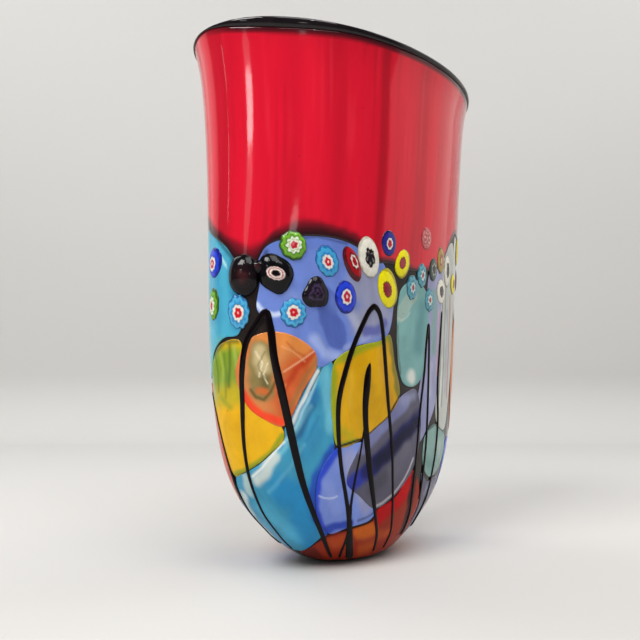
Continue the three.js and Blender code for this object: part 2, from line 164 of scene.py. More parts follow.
def make_mesh(name, node, points, faces, material, tint=None):
    """A smooth piece that rides on the vase and stands for its node, if it has one."""
    mesh = bpy.data.meshes.new(name)
    mesh.from_pydata((np.asarray(points, float) * MM).tolist(), [], faces)
    mesh.validate()
    if tint is not None:
        layer = mesh.color_attributes.new("tint", "FLOAT_COLOR", "POINT")
        rgba = np.ones((len(points), 4), np.float32)
        rgba[:, :3] = tint
        layer.data.foreach_set("color", rgba.ravel())
    mesh.polygons.foreach_set("use_smooth", [True] * len(mesh.polygons))
    mesh.materials.append(material)
    piece = link_object(name, mesh)
    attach(piece, "root")
    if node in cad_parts:
        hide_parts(node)


def bands(rings):
    """Faces between rings of point numbers. A ring that repeats one point gives triangles."""
    faces = []
    for low, high in zip(rings[:-1], rings[1:]):
        for i in range(len(low)):
            k = (i + 1) % len(low)
            face = list(dict.fromkeys((low[i], low[k], high[k], high[i])))
            if len(face) > 2:
                faces.append(face)
    return faces


# ---------------------------------------------------------------- materials


def feed(tree, made, inputs):
    """Set a shader node's inputs to values, or link them from sockets."""
    for key, value in inputs.items():
        if isinstance(value, bpy.types.NodeSocket):
            tree.links.new(value, made.inputs[key])
        else:
            made.inputs[key].default_value = value


def add(tree, kind, output, inputs, **settings):
    """Add a shader node and return its named output, or all of them."""
    made = tree.nodes.new("ShaderNode" + kind)
    for key, value in settings.items():
        setattr(made, key, value)
    feed(tree, made, inputs)
    return made.outputs[output] if output else made.outputs


def new_material(name):
    material = bpy.data.materials.new(name)
    material.use_nodes = True
    tree = material.node_tree
    return material, tree, tree.nodes["Principled BSDF"]


def cased(name, swirl, tint=None, swirl_scale=60, stretch=(1, 1, 0.35), seeds=True,
          roughness=0.22, coat=0.8, gloss=0.06, haze=0.035):
    """Coloured glass under a thin clear casing.

    The colour comes from the piece's own tint layer, or from a pair of colours, and is stirred
    by drawn-out swirls. Small seeds (bubbles) dot the casing.
    """
    material, tree, shader = new_material(name)
    place = add(tree, "TexCoord", "Object", {})
    drawn = add(tree, "Mapping", "Vector", {"Vector": place, "Scale": stretch})
    cloud = add(tree, "TexNoise", "Fac", {
        "Vector": drawn, "Scale": swirl_scale, "Detail": 5, "Roughness": 0.6, "Distortion": 1.2,
    })
    level = add(tree, "MapRange", "Result", {
        "Value": cloud, "From Min": 0.3, "From Max": 0.7, "To Min": 1 - swirl, "To Max": 1 + swirl,
    })
    if tint:
        dark, pale = ((*linear(code), 1) for code in tint)
        source = add(tree, "Mix", "Result", {"A": dark, "B": pale, "Factor": cloud},
                     data_type="RGBA")
    else:
        source = add(tree, "VertexColor", "Color", {}, layer_name="tint")
    colour = add(tree, "VectorMath", "Vector", {0: source, "Scale": level}, operation="SCALE")
    if seeds:
        cells = add(tree, "TexVoronoi", None, {"Vector": place, "Scale": 150})
        dot = add(tree, "MapRange", "Result", {
            "Value": cells["Distance"], "From Min": 0.05, "From Max": 0.075, "To Min": 0.55,
            "To Max": 0,
        })
        pick = add(tree, "SeparateColor", "Red", {"Color": cells["Color"]})
        rare = add(tree, "Math", "Value", {0: pick, 1: 0.86}, operation="GREATER_THAN")
        amount = add(tree, "Math", "Value", {0: dot, 1: rare}, operation="MULTIPLY")
        colour = add(tree, "Mix", "Result", {
            "A": colour, "B": (0.25, 0.2, 0.2, 1), "Factor": amount,
        }, data_type="RGBA", blend_type="MULTIPLY")
    grain = add(tree, "MapRange", "Result", {
        "Value": cloud, "To Min": max(roughness - 0.05, 0.02), "To Max": roughness + 0.08,
    })
    wave = add(tree, "TexNoise", "Fac", {
        "Vector": place, "Scale": 26, "Detail": 4, "Roughness": 0.35,
    })
    ripple = add(tree, "Bump", "Normal", {"Height": wave, "Strength": 0.35, "Distance": 0.0008})
    feed(tree, shader, {
        "Base Color": colour, "Roughness": grain, "Normal": ripple, "Coat Normal": ripple,
        "IOR": 1.45, "Specular IOR Level": gloss,
        "Coat Weight": coat, "Coat Roughness": haze, "Coat IOR": 1.42,
    })
    return material


# ---------------------------------------------------------------- painting


def smooth(edge0, edge1, x):
    t = np.clip((x - edge0) / (edge1 - edge0), 0, 1)
    return t * t * (3 - 2 * t)


def wobble(x, y, size, seed, tall=None):
    """Smooth noise from -1 to 1 with features of a size, or drawn out to another size in y."""
    tall = tall or size
    return np.array([noise.noise(Vector((a / size, b / tall, seed))) for a, b in zip(x, y)])


def over(colour, tone, share):
    """Colours with a share of one tone laid over them."""
    share = np.clip(share, 0, 1)[:, None]
    return colour * (1 - share) + linear(tone) * share


def line_distance(u, z, line):
    """Distance from points to a line through several points, or to one point."""
    if len(line) == 1:
        return np.hypot(u - line[0][0], z - line[0][1])
    best = np.full(len(u), np.inf)
    for (u0, z0), (u1, z1) in zip(line[:-1], line[1:]):
        du, dz = u1 - u0, z1 - z0
        t = np.clip(((u - u0) * du + (z - z0) * dz) / (du * du + dz * dz), 0, 1)
        best = np.minimum(best, np.hypot(u - u0 - t * du, z - z0 - t * dz))
    return best


# How far strokes bend, the size of the bends, and the radius from which they bend fully
WARP = 1.6
BEND_U, BEND_Z = 7.0, 11.0
FULL_BEND = 3


def paint(u, z, base, strokes, seed):
    """Colour of the glass at belt positions: a base with soft strokes laid over it."""
    colour = np.tile(linear(base), (len(u), 1))
    du = wobble(u, z, BEND_U, seed) * WARP
    dz = wobble(u, z, BEND_Z, seed + 9.1) * WARP
    for tone, line, radius, soft, strength in strokes:
        bend = min(radius / FULL_BEND, 1.0)
        distance = line_distance(u + du * bend, z + dz * bend, line)
        colour = over(colour, tone, strength * (1 - smooth(radius - soft, radius + soft, distance)))
    return colour


# ---------------------------------------------------------------- drums and outlines


def oval_lathe(name, node, rows, material, columns=192, tint=None, closed=False):
    """Profile pressed into the oval, from rows of z (or a function of u) and depth.

    The rows run up the outside. A row may add a level, which flattens its ring, and a scale,
    where 0 brings the ring to a point on the axis.
    """
    angle = np.linspace(0, 2 * np.pi, columns, endpoint=False)
    u = belt_u(angle)
    points, flat, rings = [], [], []
    for z, depth, *rest in rows:
        level, scale = rest or (None, 1)
        height = z(u) if callable(z) else np.full(columns, float(z))
        if scale == 0:
            rings.append([len(points)] * columns)
            points.append((0.0, 0.0, level))
            flat.append((0.0, height[0]))
            continue
        ring, normal, _ = surface(angle, height)
        ring = ring - normal * depth
        ring[:, :2] *= scale
        if level is not None:
            ring[:, 2] = level
        rings.append(range(len(points), len(points) + columns))
        points.extend(ring)
        flat.extend(np.stack([u, height], -1))
    faces = bands(rings + rings[:1] if closed else rings)
    colours = tint(*np.array(flat).T) if tint else None
    make_mesh(name, node, points, faces, material, colours)


def catmull(points, closed, spacing):
    """Centripetal curve through points, sampled about every spacing millimetres."""
    def mix(a, b, ka, kb, t):
        return a * (kb - t) / (kb - ka) + b * (t - ka) / (kb - ka)

    p = np.asarray(points, float)
    if closed:
        p = np.concatenate([p[-1:], p, p[:2]])
    else:
        p = np.concatenate([2 * p[:1] - p[1:2], p, 2 * p[-1:] - p[-2:-1]])
    out = []
    for a, b, c, d in zip(p[:-3], p[1:-2], p[2:-1], p[3:]):
        k = [0.0]
        for start, end in ((a, b), (b, c), (c, d)):
            k.append(k[-1] + max(np.linalg.norm((end - start)[:2]) ** 0.5, 1e-4))
        steps = max(int(np.linalg.norm((c - b)[:2]) / spacing), 1)
        for t in k[1] + (k[2] - k[1]) * np.arange(steps) / steps:
            ab = mix(a, b, k[0], k[1], t)
            bc = mix(b, c, k[1], k[2], t)
            cd = mix(c, d, k[2], k[3], t)
            abc, bcd = mix(ab, bc, k[0], k[2], t), mix(bc, cd, k[1], k[3], t)
            out.append(mix(abc, bcd, k[1], k[2], t))
    if not closed:
        out.append(p[-2])
    return np.array(out)


def grown(outline, distance):
    ahead, behind = np.roll(outline, -1, 0), np.roll(outline, 1, 0)
    turn = np.sign(np.sum(outline[:, 0] * ahead[:, 1] - ahead[:, 0] * outline[:, 1]))
    along = ahead - behind
    along /= np.linalg.norm(along, axis=1, keepdims=True) + 1e-9
    side = np.stack([along[:, 1], -along[:, 0]], -1) * turn
    return outline + side * distance


def inside(points, outline):
    x, y = points[:, 0], points[:, 1]
    result = np.zeros(len(points), bool)
    for (x0, y0), (x1, y1) in zip(outline, np.roll(outline, -1, 0)):
        crosses = (y0 > y) != (y1 > y)
        with np.errstate(divide="ignore", invalid="ignore"):
            result ^= crosses & (x < (x1 - x0) * (y - y0) / (y1 - y0) + x0)
    return result


# Rows of the filling, and its gap to the outline, in spacings
ROW_STEP, RIM_GAP = 0.866, 0.55


def filled(outline, spacing):
    """Even triangles inside an outline: their points, and their corners."""
    low, high = outline.min(0), outline.max(0)
    xs = np.arange(low[0], high[0], spacing)
    ys = np.arange(low[1], high[1], spacing * ROW_STEP)
    grid = np.array([(x + (j % 2) * spacing / 2, y) for j, y in enumerate(ys) for x in xs])
    grid = grid[inside(grid, outline)]
    gap = np.array([np.min(np.hypot(*(outline - g).T)) for g in grid])
    grid = grid[gap > spacing * RIM_GAP]
    points = [Vector(p) for p in np.concatenate([outline, grid])]
    count = len(outline)
    edges = [(i, (i + 1) % count) for i in range(count)]
    verts, _, faces, *_ = delaunay_2d_cdt(points, edges, [], 1, 1e-5)
    return np.array([tuple(v) for v in verts]), [tuple(f) for f in faces]


def rim_of(faces):
    """Boundary edges of a triangle sheet, in the sheet's winding."""
    edges = dict.fromkeys(edge for f in faces for edge in zip(f, f[1:] + f[:1]))
    return [(a, b) for a, b in edges if (b, a) not in edges]


# ---------------------------------------------------------------- vessel, lip and overlay


def red_end(u):
    return hermite(RED_END, u)[0]


def band_end(u):
    return hermite(BAND_END, u)[0]


def lip_foot(u):
    return HEIGHT - hermite(LIP_REACH, u)[0]


black_glass = cased("black_glass", 0.3, ("#0c090a", "#372e2b"), swirl_scale=30, seeds=False,
                    roughness=0.12, coat=0.5, gloss=0.03)
outer_heights = np.concatenate([
    np.linspace(1.2, 20, 14), np.linspace(24, 60, 8), np.linspace(70, 280, 19), [287, 291],
])
inner_heights = np.concatenate([
    [291, 286], np.linspace(280, 60, 18), np.linspace(52, 20, 7),
])
vessel_rows = [
    (0, 0, 0, 0), (0, 0, 0, 0.5), (0, 0, 0, 0.92), (0, 0, 0.1, 0.965), (0.5, SKIN, 0.4, 1),
]
vessel_rows += [(z, SKIN) for z in outer_heights]
vessel_rows += [(lip_foot, SKIN), (lip_foot, INNER_DEPTH)]
vessel_rows += [(z, INNER_DEPTH) for z in inner_heights]
vessel_rows += [
    (z, INNER_DEPTH, level, scale) for z, level, scale in
    [(13, 16.5, 1), (12, 13.6, 0.93), (12, 12.2, 0.8), (12, 11.3, 0.5), (12, 11, 0)]
]
oval_lathe("blown_vessel", "vessel_body", vessel_rows, black_glass)

# Section of the lip: share of its reach below the rim, depth
LIP_SECTION = [
    (1, -0.02), (0.93, -0.42), (0.78, -0.7), (0.6, -0.8), (0.42, -0.8), (0.28, -0.7),
    (0.17, -0.48), (0.08, -0.1), (0.03, 0.6), (0, 1.7), (0, 2.9), (0.01, 4.1), (0.06, 5.1),
    (0.18, 5.9), (0.4, 6.35), (0.7, 6.4), (1, 6.12), (1, 3),
]
# The flare tilts the wall, so that a point deeper in it would stand higher than the rim
FLARE_TILT = 0.21


def lip_height(share, depth):
    drop = FLARE_TILT * max(depth, 0)
    return lambda u: HEIGHT - hermite(LIP_REACH, u)[0] * share - drop


oval_lathe(
    "lip_bead", "lip_wrap", [(lip_height(share, depth), depth) for share, depth in LIP_SECTION],
    cased("lip_glass", 0.2, ("#0a0709", "#1a1014"), seeds=False, roughness=0.06),
    closed=True,
)

# Where the two painted dark reflection streaks run down the red, and the lip's end, where nothing
# shades it
DARK_REFLECTION_FRONT, DARK_REFLECTION_LEFT, LIP_END = -25, -117, -145


def overlay_tint(u, z):
    """Streaky red with two painted dark reflection streaks, that darkens into the leading below and
    under the lip.
    """
    broad = wobble(u, z, 15.0, 4.0, tall=240.0)
    fine = wobble(u, z, 2.4, 7.0, tall=70.0)
    # From 0 at the leading's lower edge to 1 where the clear red ends
    low, high = band_end(u), red_end(u)
    share = (z + wobble(u, z, 5.0, 3.0) * 0.9 - low) / np.maximum(high - low, 1)
    under_lip = lip_foot(u) - z
    clear_of_end = smooth(14, 44, np.abs(u - LIP_END))
    colour = np.tile(linear("#d8102c"), (len(u), 1))
    for tone, amount in [
        ("#b50c22", smooth(0.0, 0.5, broad) * 0.55),
        ("#e41530", smooth(0.0, 0.5, -broad) * 0.6),
        ("#a30d20", smooth(0.15, 0.6, fine) * 0.3),
        ("#f03a4c", smooth(0.25, 0.7, -fine) * 0.22),
        # Painted reflection: two darker vertical streaks down the red, standing for dark things
        # mirrored in it
        ("#98081a", smooth(-4.5, -1.5, -np.abs(u - DARK_REFLECTION_FRONT)) * 0.6),
        ("#b00e24", smooth(-6, -3, -np.abs(u - DARK_REFLECTION_LEFT)) * 0.5),
        ("#7d1020", 1 - smooth(0.85, 1.35, share)),
        ("#4a0f17", 1 - smooth(0.45, 0.95, share)),
        ("#260c12", 1 - smooth(0.1, 0.6, share)),
        ("#8c0f20", (1 - smooth(3.0, 3.9, under_lip)) * clear_of_end),
        ("#4a0b16", (1 - smooth(1.2, 3.4, under_lip)) * clear_of_end),
    ]:
        colour = over(colour, tone, amount)
    return colour


# How far the colours stay above the black glass, and the overlay below the lip
CLEARANCE, LIP_GAP = 0.02, 0.05
# Heights of the overlay's rows, as shares of the way up from the leading's lower edge
overlay_steps = np.concatenate([
    np.linspace(0, 0.14, 13), np.linspace(0.17, 0.93, 20), np.linspace(0.95, 1, 6),
])


def overlay_height(part):
    return lambda u: band_end(u) + (lip_foot(u) - LIP_GAP - band_end(u)) * part


overlay_rows = [(overlay_height(p), 0.0) for p in overlay_steps]
overlay_rows += [(overlay_height(p), SKIN - CLEARANCE) for p in overlay_steps[::-1]]
oval_lathe(
    "red_overlay_glass", "red_overlay", overlay_rows,
    cased("red_glass", 0.06, swirl_scale=40, stretch=(1, 1, 0.12), roughness=0.2, haze=0.07),
    columns=320, tint=overlay_tint, closed=True,
)

# ---------------------------------------------------------------- shards
FOOT_LINE = 1.0
# Spacing of the mesh on the detailed side and on the far side, and how many shards are detailed
FINE, COARSE = 0.8, 1.8
FRONT_SHARDS = 15
# The far shards are spread so that they meet under one another's edges
SPREAD = 2.0
# Depth of the first shard's top and how much lower each next one lies
FIRST_TOP, TOP_STEP = 0.03, 0.012
# How far shards may reach over the lower edge of the leading
TUCK = 0.8
# An outline's points lie this far apart at first, and points nearer than the least are dropped
OUTLINE_STEP, LEAST_EDGE = 1.0, 0.25
# Shards round the foot, which face the pale floor and would otherwise look misty
LOW_SHARDS = ["red_band", "red_band_side", "red_band_back"]
shard_numbers = itertools.count()


def outline_of(points, spread):
    outline = catmull(points, True, OUTLINE_STEP)
    if spread:
        outline = grown(outline, spread)
    top = band_end(np.mod(outline[:, 0] + HALF_TABLE, 2 * HALF_TABLE) - HALF_TABLE) + TUCK
    outline[:, 1] = np.clip(outline[:, 1], FOOT_LINE, top)
    keep = np.hypot(*(outline - np.roll(outline, 1, 0)).T) > LEAST_EDGE
    return outline[keep]


def shard(name, base, points, strokes):
    """A thin sheet of glass lying on the wall, closed underneath.

    A stroke is a colour, a line, a radius, a softness and a strength.
    """
    order = next(shard_numbers)
    spacing, spread = (FINE, 0) if order < FRONT_SHARDS else (COARSE, SPREAD)
    flat, faces = filled(outline_of(points, spread), spacing)
    u, z = flat[:, 0], np.maximum(flat[:, 1], FOOT_LINE)
    upper = on_wall(u, z, FIRST_TOP + TOP_STEP * order)
    lower = on_wall(u, z, SKIN - CLEARANCE)
    # Counter-clockwise in (u, z) faces outwards
    a, b, c = flat[np.array(faces)].transpose(1, 2, 0)
    if np.sum((b[0] - a[0]) * (c[1] - a[1]) - (c[0] - a[0]) * (b[1] - a[1])) < 0:
        faces = [f[::-1] for f in faces]
    count = len(flat)
    walls = [(i, i + count, k + count, k) for i, k in rim_of(faces)]
    under = [tuple(i + count for i in f[::-1]) for f in faces]
    low = name in LOW_SHARDS
    material = cased(name + "_glass", 0.13, swirl_scale=55, stretch=(1, 1, 0.5),
                     coat=0.3 if low else 0.5, gloss=0.02 if low else 0.04)
    tint = paint(u, z, base, strokes, seed=3.7 * order)
    make_mesh(
        name + "_shard", "shard_" + name, np.concatenate([upper, lower]), faces + walls + under,
        material, np.concatenate([tint, tint]),
    )


shard("amber_disc", "#cf8148", [
    (-108, 109), (-106, 117), (-102, 125), (-95, 130), (-83, 131.5), (-72, 128), (-63, 121),
    (-61.8, 114), (-70.4, 100), (-79, 85.3), (-84, 81.5), (-93, 85), (-102, 92),
], [
    ("#c9501f", [(-72, 112), (-82, 98), (-80, 90)], 8, 5, 0.8),
    ("#e08a42", [(-92, 127), (-82, 128), (-70, 123)], 4, 3, 0.7),
    ("#b8391a", [(-64, 121), (-73, 113), (-83, 99)], 1.8, 1.6, 0.85),
    ("#8a6c3a", [(-62.5, 117), (-69, 107), (-78, 92)], 1.3, 1.3, 0.6),
    ("#de7a3e", [(-107, 105), (-105.5, 114), (-101, 123)], 2.6, 1.6, 0.85),
    ("#857847", [(-93, 120), (-93.5, 109), (-93, 101)], 6.6, 2, 0.95),
    ("#cdb98a", [(-94, 121), (-92, 112)], 3.6, 2.6, 0.9),
    ("#574f26", [(-91, 107), (-92, 100)], 2.4, 2.2, 0.7),
    ("#d2692e", [(-95, 100), (-91, 99)], 2, 1.4, 0.85),
    ("#554a20", [
        (-99.5, 101), (-97, 97), (-92.5, 95.4), (-88.5, 100), (-84.5, 107),
    ], 0.7, 0.7, 0.9),
    ("#f2401e", [(-104, 99), (-100, 92), (-94, 87.5), (-84, 83.4)], 2.3, 1.3, 0.95),
    ("#efb98e", [(-63, 122), (-72, 116), (-81, 110.4)], 0.35, 0.45, 0.85),
    ("#e8a878", [(-69, 116), (-75, 121), (-82, 124)], 0.35, 0.45, 0.6),
    ("#b04a20", [(-79, 126), (-74, 121), (-69, 119)], 0.4, 0.5, 0.6),
    ("#f2e6c2", [(-96, 121), (-92.5, 115), (-94.5, 108)], 0.35, 0.4, 0.9),
    ("#f2e6c2", [(-89.5, 115), (-92, 109), (-90, 104)], 0.3, 0.4, 0.8),
    ("#5f5430", [(-91, 121), (-95, 114), (-92, 107)], 0.3, 0.4, 0.8),
    ("#e08a4a", [(-80, 104), (-84, 96), (-82, 90)], 0.5, 0.6, 0.7),
])
shard("gold", "#d6a20e", [
    (-51, 116), (-40, 123.5), (-18, 129), (-12, 132), (-7, 116), (-2, 97), (-11, 86), (-21, 80),
    (-32, 74), (-51, 70), (-53.5, 85), (-53.5, 100),
], [
    ("#b98a0c", [(-30, 104), (-24, 88)], 5, 4, 0.45),
    ("#c98f1e", [(-17, 116), (-12, 100), (-10, 92)], 2.4, 2, 0.7),
    ("#94a01a", [(-53.5, 118), (-53.5, 95), (-53, 71)], 3.6, 1.8, 0.95),
    ("#929e20", [(-49, 118), (-38, 123), (-26, 127), (-12, 132)], 3.4, 1.8, 0.92),
    ("#76732e", [(-11, 131), (-8, 120), (-5, 106), (-3, 98)], 2.6, 1.4, 0.9),
    ("#8a9a20", [(-47, 71.5), (-38, 72.5)], 1.6, 1.2, 0.85),
    ("#aaa61a", [(-49, 79), (-42, 76)], 2.6, 2.4, 0.6),
    ("#e2b63a", [(-40, 110), (-41, 92)], 1.4, 2, 0.4),
    ("#0d0b0c", [(-51, 70), (-32, 73.8), (-21, 79.8), (-11.4, 85.6), (-2.2, 97)], 0.75, 0.4, 0.95),
])
shard("pale_teal", "#78a8a6", [
    (-6, 150), (-3, 160), (10, 166), (22, 159), (26, 145), (25, 125), (21, 109), (12, 102.5),
    (2, 104), (-2, 110), (-5, 124), (-6, 138),
], [
    ("#588e94", [(18, 150), (16, 126)], 5, 4, 0.7),
    ("#6f9c9c", [(0, 128), (2, 114)], 3, 3, 0.6),
    ("#9db5aa", [(-3, 144), (2, 151), (8, 157)], 4.4, 0.8, 0.85),
    ("#c3d0c4", [
        (-6.5, 142.6), (-3.5, 141.2), (-0.5, 141.4), (2.5, 143.2), (5, 146),
    ], 0.4, 0.6, 0.6),
    ("#d6dbd2", [(9, 107.5)], 4.4, 2.2, 0.95),
    ("#5a6258", [(-5.6, 138), (-4.6, 124), (-1.6, 110)], 0.7, 0.8, 0.8),
])
shard("periwinkle", "#6c84ce", [
    (-94, 158), (-95, 173), (-88, 187), (-72, 194), (-52, 190), (-36, 184), (-22, 175), (-11, 158),
    (-10, 147), (-13, 133), (-18, 129), (-38, 124.6), (-52, 116.6), (-60, 113), (-66, 118),
    (-74, 125), (-84, 130), (-88, 136), (-95, 143),
], [
    ("#5f78c4", [(-92, 176), (-75, 181), (-58, 181), (-42, 177)], 3.4, 3, 0.7),
    ("#9698b2", [(-33, 160), (-25, 152), (-20, 144), (-30, 139)], 10.5, 5, 0.93),
    ("#8086b4", [(-18, 162), (-14, 150)], 3, 3, 0.6),
    ("#b0b4cc", [(-43, 146), (-38, 138), (-33, 132)], 2.6, 2.2, 0.75),
    ("#5265b2", [(-58, 150), (-54.5, 138), (-49.5, 129.5)], 6.4, 1, 0.93),
    ("#7088d0", [(-54, 149), (-50, 146)], 3.4, 3.4, 0.55),
    ("#a3b4e6", [(-64, 128), (-58, 121), (-48, 119)], 2.8, 2.2, 0.75),
    ("#9aa8dc", [(-44, 124), (-36, 128), (-28, 131)], 1.5, 1.2, 0.7),
    ("#5a60a8", [(-31, 133), (-23, 134), (-17, 138)], 2.6, 1.6, 0.85),
    ("#8ea2dc", [(-84, 156), (-76, 150), (-68, 150)], 3, 3, 0.4),
    ("#d3dff6", [(-95, 146), (-92, 142), (-86, 140.6), (-80, 142)], 1.2, 1.1, 0.85),
    ("#20224a", [(-94, 158), (-94, 166), (-91, 174)], 1, 1.6, 0.8),
    ("#2a2f5e", [(-84, 180.6), (-64, 183.4), (-46, 181)], 0.5, 1, 0.8),
])
shard("lime_gold", "#e8b20e", [
    (-123, 121), (-116, 126), (-105, 127), (-103, 112), (-98, 93), (-84, 81), (-83.5, 75),
    (-93, 67), (-102, 61), (-113, 56), (-121, 54), (-124, 68), (-129, 88), (-131, 102),
    (-128, 114),
], [
    ("#b9ac22", [(-126, 97), (-108, 98)], 5, 4, 0.85),
    ("#7c9a30", [(-127, 111), (-118, 113), (-108, 114)], 10.5, 4.5, 0.97),
    ("#3f5a20", [(-111, 125), (-111, 114), (-113, 103)], 0.8, 1.2, 0.75),
    ("#a8ba4a", [(-119, 123), (-116, 112), (-118, 102)], 1, 1.2, 0.7),
    ("#4f7028", [(-123, 119), (-121, 110), (-122, 100)], 0.8, 1.1, 0.7),
    ("#9fb256", [(-108, 124), (-107, 110)], 0.8, 1, 0.7),
    ("#55752a", [(-115, 120), (-114, 108), (-116, 97)], 0.6, 0.9, 0.6),
    ("#46522a", [(-125, 119), (-115, 126.5), (-106, 127)], 1.3, 1.3, 0.75),
    ("#a6b494", [(-129, 106), (-127, 97)], 1.6, 1.4, 0.75),
    ("#93992a", [(-120, 97), (-113, 92)], 1.4, 1.6, 0.7),
    ("#d99f0c", [(-112, 84), (-100, 76)], 6, 5, 0.5),
    ("#8f9a1e", [(-121, 54.6), (-112, 57), (-101, 62.4), (-92, 68), (-84, 76.5)], 1.5, 1, 0.92),
    ("#55601a", [(-118, 54.6), (-110, 57), (-101, 61.8)], 0.4, 0.5, 0.7),
])
shard("turquoise", "#4ba8c6", [
    (-139, 205), (-122, 195), (-112, 184), (-107, 172), (-105, 152), (-103, 138), (-106, 130),
    (-115, 128.5), (-125, 121), (-132, 108), (-140, 108), (-149, 140), (-149, 180),
], [
    ("#8cc8d4", [(-141, 186), (-138, 150), (-134, 118)], 7, 5, 0.85),
    ("#2c7fac", [(-108, 166), (-107, 150), (-105, 136)], 4, 3.4, 0.85),
    ("#3a94bc", [(-122, 168), (-119, 140)], 3.4, 3, 0.6),
    ("#a8dfe6", [(-119, 174), (-114, 168)], 0.8, 0.9, 0.85),
    ("#bfe6ea", [(-121, 176), (-116, 172), (-113, 166)], 0.3, 0.4, 0.7),
    ("#68aca0", [(-130, 116), (-118, 127)], 2.4, 2.4, 0.65),
    ("#16303c", [(-138, 195), (-122, 185), (-110, 172), (-105.5, 160)], 0.8, 1.6, 0.85),
])
shard("indigo", "#595768", [
    (-31, 75), (-15, 84), (-3, 95), (14, 100.6), (20, 88), (20, 68), (14.6, 54), (-4, 39.6),
    (-24, 33.6), (-38, 42), (-47, 50), (-38, 66),
], [
    ("#6b6878", [(4, 66), (-8, 52)], 5, 4, 0.5),
    ("#787ca8", [(-34, 70), (-22, 78), (-10, 86), (4, 94)], 4.6, 1.6, 0.96),
    ("#9296b6", [(2, 95), (12, 97)], 3, 3, 0.7),
    ("#2634a0", [(-22, 60), (-33, 54), (-46, 48)], 4.2, 2, 0.95),
    ("#1a1d58", [(20, 84), (6, 77), (-8, 68.6), (-22, 60), (-30, 56)], 5.4, 2.4, 0.97),
    ("#090a2c", [(16, 80.5), (0, 72), (-14, 64), (-22, 60)], 3.8, 2.6, 0.9),
    ("#44424e", [(-26, 46), (-16, 50)], 5, 4, 0.7),
    ("#b9b2ba", [
        (-24, 34.4), (-16, 36.4), (-7, 39.8), (0, 44), (5, 48.4), (10, 54), (13.6, 60),
    ], 0.7, 0.5, 0.92),
])
shard("cobalt", "#7890dc", [
    (-52, 69), (-64, 57.4), (-70.6, 43), (-73.4, 30), (-70, 21.5), (-50, 23.8), (-26, 27.8),
    (-22, 33), (-32, 42), (-40, 55), (-32, 71), (-44, 70.4),
], [
    ("#9a9ec6", [(-44, 62), (-38, 48), (-32, 36)], 6, 4, 0.85),
    ("#8c9fe2", [(-60, 48), (-58, 36)], 4, 3, 0.6),
    ("#2444cc", [
        (-52, 68), (-60, 60), (-66.8, 52), (-71, 43), (-73.4, 31), (-71, 22),
    ], 2.5, 1.5, 0.96),
    ("#1f3fb2", [(-72, 23), (-62, 24.4), (-47, 26.6)], 2.4, 1.4, 0.94),
    # Painted highlight: a thin pale line where a reflection runs across the blue
    ("#e3e9fb", [
        (-68, 43.6), (-65, 42.4), (-61.5, 41.9), (-58, 42.1), (-55, 42.9),
    ], 0.35, 0.5, 0.75),
    ("#2c2f56", [(-40, 27.4), (-30, 29), (-24, 31)], 0.6, 0.8, 0.7),
])
shard("aqua", "#3c98bc", [
    (-62.4, 113.6), (-53, 116), (-53.6, 96), (-53.4, 76), (-54, 67), (-65, 56), (-71, 43),
    (-73.8, 30), (-70.4, 21), (-78, 18.4), (-94, 12), (-110, 8.5), (-124, 11), (-133, 22),
    (-131, 36), (-125, 44), (-120, 53.4), (-112, 56), (-101, 61), (-92, 67.2), (-83, 75.4),
    (-82.6, 80), (-79.6, 84.6), (-71, 99.2),
], [
    ("#68b8d0", [(-57, 111), (-55, 96), (-54.6, 81)], 3.4, 2.4, 0.9),
    ("#236fa8", [(-64, 99), (-69, 90), (-76, 79)], 3.8, 2.6, 0.88),
    ("#2f86b4", [(-64, 78), (-72, 66)], 4, 3, 0.6),
    ("#1c8ac6", [(-90, 46), (-80, 42), (-84, 28), (-92, 18)], 10, 5, 0.85),
    ("#55bade", [(-108, 34), (-100, 22)], 6, 5, 0.7),
    ("#7cc9dc", [(-66, 92), (-82, 72), (-96, 58)], 1.2, 1.2, 0.7),
    ("#266fa4", [(-62, 86), (-76, 66), (-90, 52)], 1, 1.2, 0.5),
    ("#68bcd6", [(-72, 72), (-84, 58), (-100, 46)], 1, 1.2, 0.5),
    ("#d2ddd6", [(-105, 52), (-98, 58), (-90, 66)], 2.6, 1.9, 0.9),
    ("#bcd4d0", [(-114, 45), (-112, 53)], 2.6, 2, 0.85),
    ("#dce6e0", [(-121, 42), (-127, 30), (-127, 20)], 3, 2.2, 0.8),
    ("#aadce6", [
        (-61.4, 108.6), (-65, 100), (-70.4, 90.6), (-76.4, 81), (-84, 73),
    ], 0.8, 0.9, 0.8),
    ("#f0f6f2", [(-84, 73.4), (-99, 59.8), (-107, 54.4)], 0.5, 0.5, 0.85),
    ("#22587e", [(-65, 92), (-72, 82), (-80, 72)], 1.6, 1.6, 0.55),
    ("#0e1c24", [(-58.8, 113.4), (-62.4, 107), (-66, 100.6)], 0.45, 0.4, 0.9),
    ("#d6dedb", [(-61.2, 111), (-69, 98), (-77.6, 83.6)], 0.95, 0.5, 0.95),
    ("#0b1216", [(-61.7, 114), (-70.5, 99.6), (-79.3, 84.8)], 0.6, 0.4, 0.95),
    ("#1d4cb8", [
        (-53, 68.5), (-60, 61), (-66.6, 53), (-71.6, 43), (-74.4, 31), (-72, 20),
    ], 3.4, 2, 0.95),
    ("#123a72", [(-56, 66), (-66, 54)], 1, 1.2, 0.5),
])
shard("red_strip", "#c23c26", [
    (-146, 104), (-133, 101), (-127.4, 80), (-125.6, 62), (-127, 44), (-138, 38), (-152, 60),
], [
    ("#8e2018", [(-146, 90), (-148, 60)], 5, 5, 0.7),
    ("#e0603a", [(-131, 86), (-129, 60)], 2, 2, 0.6),
])
